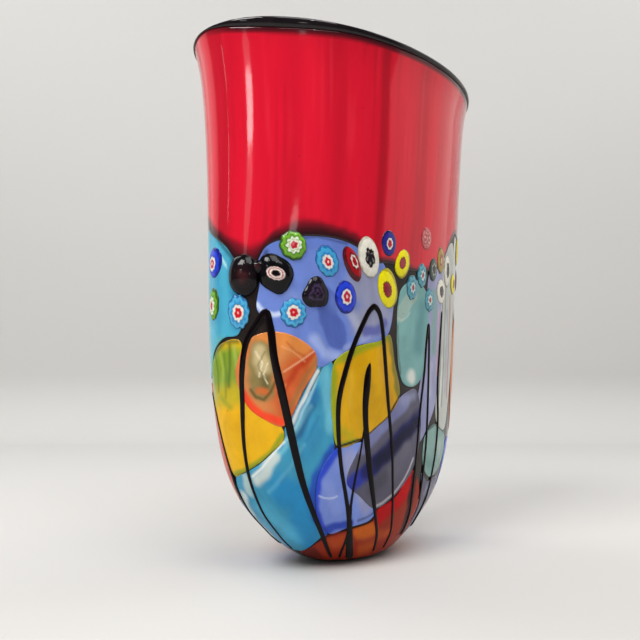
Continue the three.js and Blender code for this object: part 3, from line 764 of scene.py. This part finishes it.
shard("red_band", "#9a2c14", [
    (-112, 7), (-92, 12), (-72, 19.5), (-50, 22.5), (-24, 26.5), (-21, 32), (-2, 38.6), (13.6, 53),
    (24, 46), (40, 24), (46, 11), (40, 2), (0, 1), (-50, 1), (-100, 1),
], [
    ("#5a1e1a", [(-108, 5), (-92, 8)], 5, 4, 0.8),
    ("#b4481c", [(-70, 14), (-58, 15), (-50, 15)], 4, 3, 0.7),
    ("#d06418", [(-40, 20), (-30, 20), (-22, 21)], 4.6, 2.6, 0.95),
    ("#be541a", [(-34, 8), (-14, 10)], 4, 4, 0.7),
    ("#bc0008", [(-17, 30), (-8, 34), (3, 39), (11, 44)], 7.4, 2, 0.98),
    ("#b4481a", [(-13, 16), (2, 17)], 3.2, 2.4, 0.85),
    ("#2c0a0e", [(17, 48), (18, 36), (24, 26), (30, 16)], 3.8, 2.2, 0.95),
    ("#12080a", [(-84, 15.6), (-72, 19), (-51, 22.2), (-24, 26.4)], 0.5, 0.5, 0.85),
])
shard("lilac", "#979abd", [
    (25, 172), (41, 178), (42.4, 140), (42, 112), (40, 92), (32, 80), (19, 69), (16, 90),
    (19, 104), (22, 118), (24, 142),
], [
    ("#7ba39e", [(33, 160), (34, 140), (34, 124)], 3, 1.6, 0.85),
    ("#b4b6cc", [(32, 116), (31, 98)], 2, 2, 0.6),
    ("#7d83ae", [(24, 96), (22, 78)], 4, 4, 0.7),
    ("#c99aa2", [(39.5, 150), (40, 110)], 0.9, 1, 0.8),
])
shard("ivory", "#c3c6bf", [
    (42, 182), (60, 196), (68, 170), (69, 122), (66, 94), (60, 75), (43, 81), (41, 100),
    (42.6, 122), (42, 146),
], [
    ("#8e918c", [(50, 166), (51, 90)], 0.9, 0.9, 0.85),
    ("#b08584", [(60, 160), (61, 96)], 1.6, 1.2, 0.75),
    ("#55514c", [(45, 166), (45, 90)], 0.7, 0.8, 0.8),
    ("#a3aac2", [(55, 150), (56, 100)], 2, 2, 0.6),
    ("#e4e6e0", [(48, 120), (48, 90)], 1.2, 1.2, 0.7),
])
shard("teal_low", "#82a6a0", [
    (27, 72), (40, 79), (60, 73), (65, 60), (56, 49), (40, 47), (27, 56),
], [
    ("#b4c4ba", [(46, 66), (54, 64)], 4, 4, 0.5),
    ("#5f8a84", [(32, 56), (46, 51)], 3, 3, 0.6),
    ("#1e2420", [(28, 75), (41, 79), (60, 73)], 0.8, 0.8, 0.8),
])
shard("indigo_low", "#57556c", [
    (27, 50), (40, 44), (56, 46), (68, 40), (74, 24), (62, 13), (50, 12), (42, 26),
], [
    ("#8082a0", [(44, 40), (54, 36)], 4, 3, 0.6),
    ("#2b2a48", [(60, 34), (62, 20)], 4, 4, 0.7),
])
shard("amber_back", "#cc7030", [
    (76, 142), (100, 150), (122, 138), (128, 112), (118, 84), (96, 72), (80, 84), (72, 110),
], [
    ("#e6903e", [(88, 138), (108, 140)], 6, 5, 0.7),
    ("#a5381c", [(110, 104), (100, 84)], 8, 6, 0.7),
    ("#d8c08c", [(92, 120), (98, 108)], 3, 2.4, 0.7),
])
shard("aqua_back", "#2c9bca", [
    (128, 190), (150, 196), (174, 190), (180, 140), (172, 114), (150, 102), (134, 112), (131, 145),
], [
    ("#8fdbe8", [(134, 170), (140, 140), (146, 112)], 3.4, 3, 0.8),
    ("#1d5fae", [(172, 170), (172, 130)], 5, 4, 0.8),
])
shard("gold_back", "#dca41b", [
    (134, 101), (152, 93), (176, 105), (196, 95), (204, 70), (190, 44), (160, 34), (136, 44),
    (130, 74),
], [
    ("#98a81e", [(138, 92), (136, 56)], 6, 5, 0.85),
    ("#c0821a", [(178, 84), (170, 54)], 8, 7, 0.6),
])
shard("periwinkle_back", "#718ad6", [
    (188, 200), (210, 200), (230, 192), (241, 150), (236, 116), (214, 98), (196, 106), (186, 130),
    (184, 158),
], [
    ("#4a61b6", [(200, 160), (212, 136), (226, 118)], 7, 3, 0.85),
    ("#9db0e4", [(196, 176), (222, 170)], 5, 4, 0.6),
])
shard("turquoise_back", "#4db8d2", [
    (-230, 120), (-200, 108), (-170, 118), (-156, 100), (-160, 62), (-186, 46), (-220, 56),
    (-234, 88),
], [
    ("#2f97c2", [(-176, 100), (-178, 70)], 8, 6, 0.7),
    ("#b6e4ea", [(-212, 104), (-222, 76)], 3, 3, 0.7),
])
# The rest have no node of their own
shard("cobalt_side", "#5f78d8", [
    (70, 66), (92, 66), (118, 77), (126, 58), (120, 36), (100, 20), (80, 20), (74, 40),
], [
    ("#2742c8", [(78, 28), (100, 26), (116, 42)], 3, 3, 0.85),
])
shard("ivory_side", "#cfd0c8", [
    (70, 206), (88, 206), (104, 198), (124, 190), (124, 146), (104, 154), (80, 148), (70, 160),
], [
    ("#8f9fc4", [(84, 190), (96, 160)], 6, 5, 0.7),
])
shard("red_band_side", "#b4301c", [
    (52, 10), (76, 16), (100, 16), (128, 34), (150, 28), (172, 34), (180, 1), (150, 1), (100, 1),
    (56, 1),
], [
    ("#d4762a", [(84, 9), (120, 14)], 5, 4, 0.85),
])
shard("red_band_back", "#b8381e", [
    (182, 36), (200, 40), (222, 46), (246, 44), (262, 40), (282, 38), (296, 20), (290, 1),
    (240, 1), (188, 1),
], [
    ("#d4762a", [(210, 24), (250, 26)], 7, 5, 0.85),
    ("#7a1618", [(276, 22)], 8, 6, 0.8),
])
shard("cobalt_end", "#5f78d8", [
    (298, 50), (310, 58), (320, 52), (330, 36), (342, 34), (346, 18), (340, 8), (300, 5),
    (300, 24),
], [
    ("#2742c8", [(306, 40), (316, 20)], 4, 3, 0.8),
])
shard("lime_end", "#cdb324", [
    (210, 92), (236, 108), (246, 92), (244, 64), (262, 52), (236, 50), (208, 50), (206, 72),
], [
    ("#86a426", [(216, 84), (234, 96)], 6, 5, 0.85),
])
shard("aqua_end", "#2c9bca", [
    (246, 196), (270, 190), (300, 204), (322, 206), (328, 170), (326, 128), (318, 116), (304, 124),
    (278, 112), (252, 124), (243, 150),
], [
    ("#8fdbe8", [(256, 176), (272, 150), (300, 140)], 4, 3, 0.8),
    ("#1d5fae", [(310, 180), (316, 140)], 6, 5, 0.8),
])
# ---------------------------------------------------------------- threads
# Section of a thread: shares of its half-width and of its rise, then its sunk underside
BEAD = [(-1, 0), (-0.97, 0.32), (-0.86, 0.6), (-0.62, 0.85), (-0.3, 0.97), (0, 1), (0.3, 0.97),
        (0.62, 0.85), (0.86, 0.6), (0.97, 0.32), (1, 0), (0.9, -0.3), (-0.9, -0.3)]
# How deep the underside is sunk, the rise of the thinnest thread and its gain with the width,
# and how uneven a thread's width is, over a length
BEAD_SINK, BEAD_RISE, RISE_PER_WIDTH = 0.35, 0.25, 0.1
THREAD_UNEVEN, UNEVEN_LENGTH = 0.07, 9.0
THREAD_STEP = 1.2
thread_glass = cased("thread_glass", 0.2, ("#040203", "#10060a"), seeds=False, roughness=0.1,
                     coat=0.35, gloss=0.02)
thread_numbers = itertools.count()


def bead(name, *paths):
    """A trailed thread with rounded ends, from paths of u, z and width."""
    seed = next(thread_numbers) * 3.3
    points, faces = [], []
    for path in paths:
        line = catmull(path, False, THREAD_STEP)
        run = np.concatenate([[0], np.cumsum(np.hypot(*np.diff(line[:, :2], axis=0).T))])
        uneven = wobble(run, np.full(len(run), seed), UNEVEN_LENGTH, 0.5, tall=1.0)
        width = line[:, 2] * (1 + THREAD_UNEVEN * uneven)
        ends = np.minimum(run, run[-1] - run)
        taper = np.sqrt(np.clip(ends / (width * 0.5 + 0.5), 0.02, 1))
        half = width / 2 * taper
        rise = (BEAD_RISE + RISE_PER_WIDTH * width) * taper
        centre, normal, _ = surface(belt_angle(line[:, 0]), line[:, 1])
        along = np.gradient(centre, axis=0)
        along /= np.linalg.norm(along, axis=1, keepdims=True)
        side = np.cross(along, normal)
        side /= np.linalg.norm(side, axis=1, keepdims=True)
        rings = []
        for c, n, s, h, r in zip(centre, normal, side, half, rise):
            rings.append(range(len(points), len(points) + len(BEAD)))
            points += [c + s * (across * h) + n * (up * r if up >= 0 else -BEAD_SINK)
                       for across, up in BEAD]
        faces += bands(rings) + [tuple(reversed(rings[0])), tuple(rings[-1])]
    make_mesh(name + "_bead", name, points, faces, thread_glass)


bead("thread_1", [
    (-117, 9, 1.2), (-114, 20, 1.2), (-111, 36, 1.4), (-109, 56, 1.8), (-107, 76, 2.2),
    (-105, 94, 2.6), (-104, 110, 2.9), (-101, 126, 3.2), (-95, 136, 3.6), (-90.5, 142, 3.8),
    (-88, 134, 3.9), (-86, 118, 4.3), (-82.5, 100, 4.4), (-80, 84, 4.3), (-78, 66, 3.9),
    (-76.5, 48, 3.3), (-75, 30, 2.7), (-75.5, 16, 2.3), (-77, 4, 1.8),
])
bead("thread_2", [
    (-133, 100, 1.2), (-128, 86, 1.4), (-125, 72, 1.5), (-124, 54, 1.8), (-125.5, 44, 3.4),
    (-126, 36, 2), (-128, 24, 1.4), (-132, 11, 1.4),
])
bead("thread_3", [
    (-50, 2, 4.8), (-49.5, 16, 4.2), (-48, 28, 3), (-48.6, 42, 2.3), (-50, 60, 2.3),
    (-50, 79, 2.6), (-48.6, 95, 3.1), (-44, 111, 3.3), (-38.4, 126, 3.2), (-32, 139, 3.1),
    (-28.4, 145, 3.2), (-25, 147.6, 3.5), (-21.6, 145, 3.2), (-19, 139, 2.9), (-15.6, 120, 2.8),
    (-13, 100, 2.6), (-11, 84, 2.3), (-9, 66, 1.9), (-7, 46, 1.6), (-2.6, 30, 1.5), (5, 18, 1.4),
    (13, 6, 1.5),
], [
    (-31.6, 80, 0.9), (-36, 64, 1.1), (-41, 50, 1.3), (-45, 38, 1.6), (-48, 26, 2.2),
], [
    (-50, 21, 1.6), (-56, 13, 1.5), (-66, 4, 1.6),
])
bead("thread_4", [
    (-26.8, 116, 1.2), (-28, 111, 3.8), (-29, 103, 4.9), (-30.4, 90, 4), (-30, 72, 3.8),
    (-28.4, 56, 3.5), (-26, 42, 2.8), (-21.6, 28, 2), (-15, 16, 1.7), (-8, 5, 1.6),
])
bead("thread_5", [
    (38, 12, 1.6), (30, 22, 1.6), (20, 36, 1.6), (17, 52, 1.6), (17.5, 70, 1.6), (20, 90, 1.8),
    (23, 110, 2), (24.4, 130, 2.2), (26, 140, 2.4), (27.6, 130, 2), (28.6, 108, 2), (29, 88, 2),
    (28.6, 68, 1.8), (29, 50, 1.8), (33, 34, 1.8),
])
bead("thread_6", [
    (44, 150, 1.4), (43, 128, 2), (42, 104, 2.2), (45, 82, 2.2), (45, 62, 2), (46, 44, 2),
    (52, 28, 1.8), (60, 15, 1.8),
])
bead("thread_7", [
    (146, 12, 2.4), (134, 42, 2.4), (130, 70, 2.8), (130, 98, 3.2), (136, 126, 3.4),
    (146, 149, 3.6), (156, 124, 3.6), (164, 96, 3.4), (168, 68, 3), (174, 42, 2.6), (186, 12, 2.2),
])
bead("thread_8", [
    (-186, 10, 2.4), (-180, 40, 2.6), (-180, 66, 3), (-184, 94, 3.4), (-190, 122, 3.4),
    (-198, 145, 3.6), (-208, 120, 3.4), (-214, 92, 3.2), (-214, 64, 3), (-210, 40, 2.6),
    (-214, 10, 2.2),
])
# ---------------------------------------------------------------- murrine
WHITE = "#dedbd2"
# Pattern of a cane: slot, base colour, scallops of the outline (count, depth), raggedness and
# rings (colour, radius, softness, and maybe petals and petal depth) from the outside in
CANES = {
    "blue": ("blue", "#131f86", (0, 0), 0.05, [
        ("#2440cc", 0.86, 0.1, 9, 0.04), ("#16269c", 0.56, 0.06), (WHITE, 0.46, 0.06, 8, 0.02),
        ("#b3183a", 0.31, 0.06, 5, 0.02), ("#e6b9b4", 0.1, 0.05),
    ]),
    "navy": ("blue", "#15154e", (0, 0), 0.05, [
        ("#28278c", 0.84, 0.1), ("#1c1f6c", 0.52, 0.06), (WHITE, 0.42, 0.06, 8, 0.02),
        ("#b3182e", 0.28, 0.05, 5, 0.02),
    ]),
    "green": ("green", "#355f16", (9, 0.03), 0.06, [
        ("#6fa92a", 0.88, 0.08, 9, 0.05), ("#4c8420", 0.66, 0.06, 9, 0.08),
        ("#e2e8d6", 0.54, 0.07, 9, 0.06), ("#a9c48c", 0.42, 0.05, 7, 0.04),
        ("#e6e0d6", 0.34, 0.05), ("#b81428", 0.24, 0.06, 5, 0.02),
    ]),
    "black": ("black", "#060407", (0, 0), 0.06, [
        ("#1a0b10", 0.6, 0.4), ("#3a1a1c", 0.26, 0.3, 3, 0.05),
    ]),
    "eye": ("black", "#070508", (0, 0), 0.02, [
        ("#e2cfca", 0.48, 0.03), ("#a83c42", 0.405, 0.03), (WHITE, 0.34, 0.03),
        ("#c08078", 0.25, 0.03), ("#08060a", 0.225, 0.03, 5, 0.015),
    ]),
    "sky": ("sky_blue", "#1c5f9e", (10, 0.02), 0.05, [
        ("#3f9cce", 0.88, 0.09, 10, 0.05), ("#2a7cba", 0.6, 0.06, 10, 0.05),
        (WHITE, 0.45, 0.06, 9, 0.025), ("#c21c30", 0.27, 0.06, 5, 0.02), ("#efd2cc", 0.09, 0.04),
    ]),
    "red": ("red", "#4e0812", (0, 0), 0.05, [
        ("#a5121e", 0.84, 0.15), ("#6e0c16", 0.5, 0.08, 6, 0.06), (WHITE, 0.38, 0.07, 7, 0.03),
        ("#a8141f", 0.26, 0.06, 5, 0.02),
    ]),
    "white": ("white", "#b9b4a4", (0, 0), 0.1, [
        ("#e3dfd2", 0.9, 0.09), ("#17130f", 0.46, 0.05, 5, 0.02), ("#77726e", 0.28, 0.03, 5, 0.08),
        ("#1d1822", 0.24, 0.04, 4, 0.05),
    ]),
    "yellow": ("yellow", "#a89a10", (0, 0), 0.04, [
        ("#eadd0e", 0.9, 0.08), ("#3a0f10", 0.41, 0.03, 14, 0.02),
        ("#962a34", 0.36, 0.04, 14, 0.02), ("#7c2230", 0.22, 0.08, 6, 0.04),
    ]),
    "ring": ("yellow", "#a89a10", (0, 0), 0.05, [
        ("#eadd0e", 0.9, 0.08), ("#7a1a16", 0.43, 0.04, 12, 0.02),
        ("#9c3342", 0.34, 0.05, 8, 0.03),
    ]),
    "plum": ("black", "#0f0a12", (3, 0.08), 0.14, [
        ("#17101c", 0.8, 0.1, 6, 0.06), ("#3c3048", 0.54, 0.12, 3, 0.08),
        ("#1a1220", 0.4, 0.1, 3, 0.08), ("#44304e", 0.2, 0.1, 4, 0.05), ("#140d18", 0.1, 0.05),
    ]),
    "flower": ("sky_blue", "#1f6ba6", (10, 0.04), 0.08, [
        ("#4fa9d6", 0.9, 0.1, 10, 0.07), ("#2f8cc4", 0.68, 0.08, 10, 0.08),
        ("#1a3a50", 0.52, 0.03, 9, 0.03), (WHITE, 0.49, 0.05, 9, 0.03),
        ("#c41a28", 0.31, 0.06, 6, 0.02), ("#e8a49c", 0.08, 0.05),
    ]),
    "rose": ("pink", "#a83c46", (0, 0), 0.14, [
        ("#cf7a7a", 0.86, 0.1), ("#b85858", 0.72, 0.05, 7, 0.1), ("#d99a94", 0.5, 0.05, 7, 0.14),
        ("#b04c50", 0.4, 0.05, 5, 0.12), ("#cc8682", 0.16, 0.06),
    ]),
    "teal": ("teal", "#376f80", (8, 0.03), 0.09, [
        ("#5d9cac", 0.88, 0.08, 8, 0.07), ("#3f8496", 0.6, 0.06, 8, 0.06),
        ("#c2cfcb", 0.42, 0.06, 7, 0.08), ("#94404a", 0.22, 0.06),
    ]),
    "moss": ("grey", "#2f3a36", (0, 0), 0.09, [
        ("#4c5a54", 0.86, 0.1), ("#a9aea4", 0.5, 0.05, 7, 0.05), ("#3c3236", 0.4, 0.06),
    ]),
    "saffron": ("yellow", "#7a6238", (0, 0), 0.1, [
        ("#ab9450", 0.86, 0.12), ("#a04a44", 0.46, 0.08, 6, 0.08), ("#c9b888", 0.2, 0.07),
    ]),
}
# Name, cane, u, z, width, length, tilt, thickness, and maybe an offset of the pattern
MURRINE = [
    ("cobalt_left", "blue", -123.5, 170.5, 14, 17, 0, 1.1, (-0.1, -0.1)),
    ("green_left", "green", -124, 147.5, 11, 18, 0, 1.1, (-0.1, -0.1)),
    ("black_lump", "black", -103, 161.8, 17, 23.5, 6, 4.9, (0.1, -0.1)),
    ("black_eye", "eye", -85.8, 162.6, 18, 22.5, 34, 4.2, (-0.02, -0.03)),
    ("black_bridge", "black", -95.4, 166, 9, 8, 0, 2.6),
    ("green_flower", "green", -77, 177.8, 14.5, 16, 24, 2, (0.04, 0)),
    ("sky", "sky", -57.4, 170.6, 13.2, 18, 27, 1.3, (-0.05, -0.06)),
    ("crimson", "red", -41.8, 170.2, 9.8, 21, 29, 1.2, (0.28, 0.08)),
    ("white_dot", "white", -31, 174.9, 14.6, 23.6, 17, 1.5, (0.02, -0.04)),
    ("navy", "navy", -16.4, 184.5, 11.6, 15, 4, 1.1, (-0.02, -0.05)),
    ("yellow_small", "ring", -3.8, 174, 12.4, 17.4, -15, 1.2, (-0.2, 0)),
    ("yellow_large", "yellow", -15.3, 158.6, 15.4, 23.6, 18, 1.4, (-0.2, -0.02)),
    ("royal", "blue", -45, 151.5, 13.6, 18.6, 8, 1.4, (0, 0.02)),
    ("plum", "plum", -63.4, 152.5, 14.8, 16.6, -8, 2.8),
    ("flower_right", "flower", -75.6, 141.8, 14.6, 15.5, 0, 1.3, (0, 0.02)),
    ("flower_left", "flower", -105.6, 142.4, 12.5, 18.5, 8, 1.3, (0.06, -0.1)),
    ("rose", "rose", 18, 192, 11.5, 13.5, 0, 1),
    ("teal_flower", "teal", 6, 161, 10.5, 15, 0, 1),
    ("teal_small", "teal", 15.6, 169.3, 9.6, 15, 4, 1),
    ("teal_low", "teal", 25.8, 155.2, 11, 14.5, 4, 1, (-0.1, 0)),
    ("moss", "moss", 28.5, 174.5, 10, 14.5, 0, 1),
    ("saffron", "saffron", 38.3, 181.6, 10, 17, 6, 1, (-0.1, 0)),
    ("white_tall", "white", 50, 176.6, 11, 21, 4, 1, (-0.1, 0)),
    ("white_low", "white", 41.3, 162.2, 12.5, 16, 10, 1, (-0.1, 0)),
    ("yellow_side", "yellow", 65, 170, 12, 14, 0, 1),
    ("yellow_end", "yellow", 79, 194, 12, 20, 0, 1),
    ("back_1", "blue", 108, 166, 14, 18, 0, 1.2, (0, 0.05)),
    ("back_2", "yellow", 142, 162, 14, 19, 0, 1.2),
    ("back_3", "flower", 202, 160, 14, 17, 0, 1.2),
    ("back_4", "green", -184, 160, 14, 17, 0, 1.3),
    # More of the band round the unseen side, with no nodes of their own
    ("back_5", "red", 92, 176, 12, 17, 0, 1.2, (0.1, 0)),
    ("back_6", "white", 125, 172, 13, 18, 5, 1.2),
    ("back_7", "teal", 160, 174, 12, 16, 0, 1.2),
    ("back_8", "eye", 176, 160, 15, 18, 10, 3.6),
    ("back_9", "rose", 188, 178, 12, 15, 0, 1.2),
    ("back_10", "ring", 220, 168, 13, 18, -6, 1.2),
    ("back_11", "blue", 236, 156, 13, 17, 0, 1.2),
    ("back_12", "sky", -226, 172, 13, 16, 0, 1.2),
    ("back_13", "red", -208, 164, 12, 17, 8, 1.2, (-0.1, 0.1)),
    ("back_14", "white", -168, 170, 13, 19, -5, 1.2),
    ("back_15", "yellow", -152, 158, 12, 16, 0, 1.2),
]
SPOKES = 72
CIRCLES = np.concatenate([np.linspace(0.05, 0.9, 20), [0.94, 0.97, 0.99, 1.0]])
# Slices thicker than this are lumps. Each kind has an unevenness of the outline, and a power
# and a rounding of the dome
LUMP = 2.5
LUMP_SHAPE, SLICE_SHAPE = (0.13, 2.2, 0.75), (0.05, 3, 0.55)
# How far the edge of the dome and the hidden underside are sunk
EDGE_SINK, UNDER_SINK = 0.12, 0.46
# The eye's rings are level ovals, whichever way its lump is turned
EYE_STRETCH = 1.45
# Variation of the colour from fleck to fleck, and how much darker the outermost edge is
FLECKING, EDGE_SHADE = 0.2, 0.45


def turned(x, y, angle):
    return x * math.cos(angle) - y * math.sin(angle), y * math.cos(angle) + x * math.sin(angle)


def murrina(order, name, cane, u, z, width, length, tilt, thickness, offset=(0, 0)):
    """A slice of patterned cane melted on to the wall as a low dome."""
    slot, base, (scallops, scallop_depth), ragged, rings = CANES[cane]
    rough, power, rounding = LUMP_SHAPE if thickness > LUMP else SLICE_SHAPE
    angle = np.linspace(0, 2 * np.pi, SPOKES, endpoint=False)
    uneven = wobble(np.cos(angle) * 1.3, np.sin(angle) * 1.3, 1.0, order * 5.1)
    uneven = 1 + rough * uneven
    uneven *= 1 + scallop_depth * np.cos(scallops * angle + order)
    # The middle, the circles of the dome, its edge again for the underside, and the middle of that
    share = np.concatenate([[0], np.repeat(CIRCLES, SPOKES), [1.0] * SPOKES, [0]])
    spin = np.concatenate([[0], np.tile(angle, len(CIRCLES) + 1), [0]])
    radius = share * np.concatenate([[1], np.tile(uneven, len(CIRCLES) + 1), [1]])
    across, up = radius * np.sin(spin), radius * np.cos(spin)
    x, y = across * width / 2, up * length / 2
    turn = math.radians(tilt)
    du, dz = turned(x, y, turn)
    depth = EDGE_SINK - thickness * np.maximum(1 - share ** power, 0) ** rounding
    under = len(CIRCLES) * SPOKES + 1
    depth[under:] = UNDER_SINK
    points = on_wall(u + du, z + dz, depth)

    px, py = across - offset[0], up - offset[1]
    if cane == "eye":
        px, py = turned(px, py, turn)
        py = py * EYE_STRETCH
    r = np.hypot(px, py) + ragged * wobble(x, y, 1.5, order * 3.3)
    theta = np.arctan2(px, py)
    colour = np.tile(linear(base), (len(r), 1))
    for tone, reach, soft, *petals in rings:
        count, petal_depth = petals or (0, 0)
        edge = reach + petal_depth * np.cos(count * theta + order)
        colour = over(colour, tone, 1 - smooth(edge - soft / 2, edge + soft / 2, r))
    colour *= (1 + FLECKING * wobble(x, y, 0.55, order))[:, None]
    colour *= (1 - EDGE_SHADE * smooth(0.93, 1.0, share))[:, None]

    last = len(share) - 1
    circles = [range(start, start + SPOKES) for start in range(1, last, SPOKES)]
    faces = bands([[0] * SPOKES, *circles, [last] * SPOKES])
    make_mesh(name + "_murrina", "murrine_" + name, points, faces,
              murrina_glass[slot], np.clip(colour, 0, 1))


murrina_glass = {
    slot: cased("murrine_" + slot + "_glass", 0.1, swirl_scale=220, stretch=(1, 1, 1), seeds=False,
                roughness=0.18, coat=0.45 if slot == "black" else 0.7)
    for slot in dict.fromkeys(CANES[row[1]][0] for row in MURRINE)
}
for order, row in enumerate(MURRINE):
    murrina(order, *row)

# ---------------------------------------------------------------- stage, lights, camera
CAMERA_PLACE = Vector((-0.3208, -0.3098, 0.105))
CAMERA_AIM = Vector((0.6926, 0.7159, 0.0884))
LENS, SENSOR = 39.375, 36
# Lamps are placed round this point on the axis and face it
LIT_HEIGHT = 0.17
# The sweep, in metres: ends of its floor before and behind the vase, bend, top, half-width, and
# how far it lies below the foot
FLOOR_START, FLOOR_END, BEND, SWEEP_TOP, SWEEP_HALF = -3.0, 0.85, 0.12, 2.4, 5.0
FLOOR_GAP = 0.0002
SWEEP_STEPS = 12


def stage_sheet():
    """Floor that sweeps up into a wall behind the vase."""
    away = Vector((CAMERA_AIM.x, CAMERA_AIM.y, 0)).normalized()
    sideways = Vector((away.y, -away.x, 0))
    bend_start = FLOOR_END - BEND
    line = [(d, 0.0) for d in np.linspace(FLOOR_START, bend_start, SWEEP_STEPS + 1)]
    for i in range(1, SWEEP_STEPS + 1):
        a = math.pi / 2 * i / SWEEP_STEPS
        line.append((bend_start + BEND * math.sin(a), BEND - BEND * math.cos(a)))
    line.append((FLOOR_END, SWEEP_TOP))
    points = []
    for distance, height in line:
        for side in (-SWEEP_HALF, SWEEP_HALF):
            p = away * distance + sideways * side
            points.append((p.x, p.y, height - FLOOR_GAP))
    faces = [(2 * i, 2 * i + 1, 2 * i + 3, 2 * i + 2) for i in range(len(line) - 1)]
    mesh = bpy.data.meshes.new("studio_sweep")
    mesh.from_pydata(points, [], faces)
    mesh.polygons.foreach_set("use_smooth", [True] * len(mesh.polygons))
    material, tree, shader = new_material("pale_paper")
    grain = add(tree, "TexNoise", "Fac", {"Scale": 6})
    shade = add(tree, "Mix", "Result", {
        "A": (0.51, 0.505, 0.49, 1), "B": (0.56, 0.552, 0.54, 1), "Factor": grain,
    }, data_type="RGBA")
    feed(tree, shader, {"Base Color": shade, "Roughness": 0.7})
    mesh.materials.append(material)
    link_object("studio_sweep", mesh)


def face(thing, direction):
    thing.rotation_mode = "QUATERNION"
    thing.rotation_quaternion = direction.to_track_quat("-Z", "Y")


def panel(name, azimuth, elevation, distance, width, height, watts, colour=(1, 1, 1),
          shape="RECTANGLE"):
    """Soft box facing the vase from a direction."""
    a, e = math.radians(azimuth), math.radians(elevation)
    toward = Vector((math.cos(a) * math.cos(e), math.sin(a) * math.cos(e), math.sin(e)))
    light = bpy.data.lights.new(name, "AREA")
    light.shape = shape
    light.size, light.size_y = width, height
    light.energy = watts
    light.color = colour
    lamp = link_object(name, light)
    lamp.location = toward * distance + Vector((0, 0, LIT_HEIGHT))
    lamp.visible_camera = False
    face(lamp, -toward)


stage_sheet()
panel("key_left", -172, 46, 1.5, 0.55, 0.55, 17, (1.0, 0.98, 0.95))
panel("front_fill", -110, 62, 1.6, 0.9, 0.9, 13, (1.0, 0.99, 0.97))
panel("side_fill", -20, 48, 1.6, 0.8, 0.8, 7)
panel("back_fill", 100, 50, 1.6, 1.0, 0.8, 9)
panel("window_streak", -166, 16.6, 1.4, 0.2, 0.05, 0.4, shape="ELLIPSE")
panel("window_glow", -166, 12, 1.4, 0.2, 0.26, 0.2, shape="ELLIPSE")
panel("thin_streak", 157, 15, 1.4, 0.018, 0.12, 0.045)
panel("front_strip", -115, 6.5, 1.3, 0.14, 0.08, 0.12, shape="ELLIPSE")
panel("lamp_left", -151, 44, 1.5, 0.06, 0.06, 0.8, shape="ELLIPSE")
panel("lamp_right", -106, 44, 1.5, 0.06, 0.06, 0.8, shape="ELLIPSE")
panel("left_wall", 112, 16, 1.4, 0.8, 1.0, 1.9)
panel("right_wall", -20, 12, 1.4, 2.1, 1.0, 4.9, (1.0, 0.94, 0.87))

world = bpy.data.worlds.new("studio")
bpy.context.scene.world = world
world.use_nodes = True
background = world.node_tree.nodes["Background"]
background.inputs["Color"].default_value = (0.8, 0.83, 0.88, 1)
background.inputs["Strength"].default_value = 0.22

lens = bpy.data.cameras.new("camera")
lens.sensor_width = SENSOR
lens.lens = LENS
lens.clip_start = 0.01
camera = link_object("camera", lens)
camera.location = CAMERA_PLACE
face(camera, CAMERA_AIM)
bpy.context.scene.camera = camera
bpy.context.scene.view_settings.view_transform = "Standard"
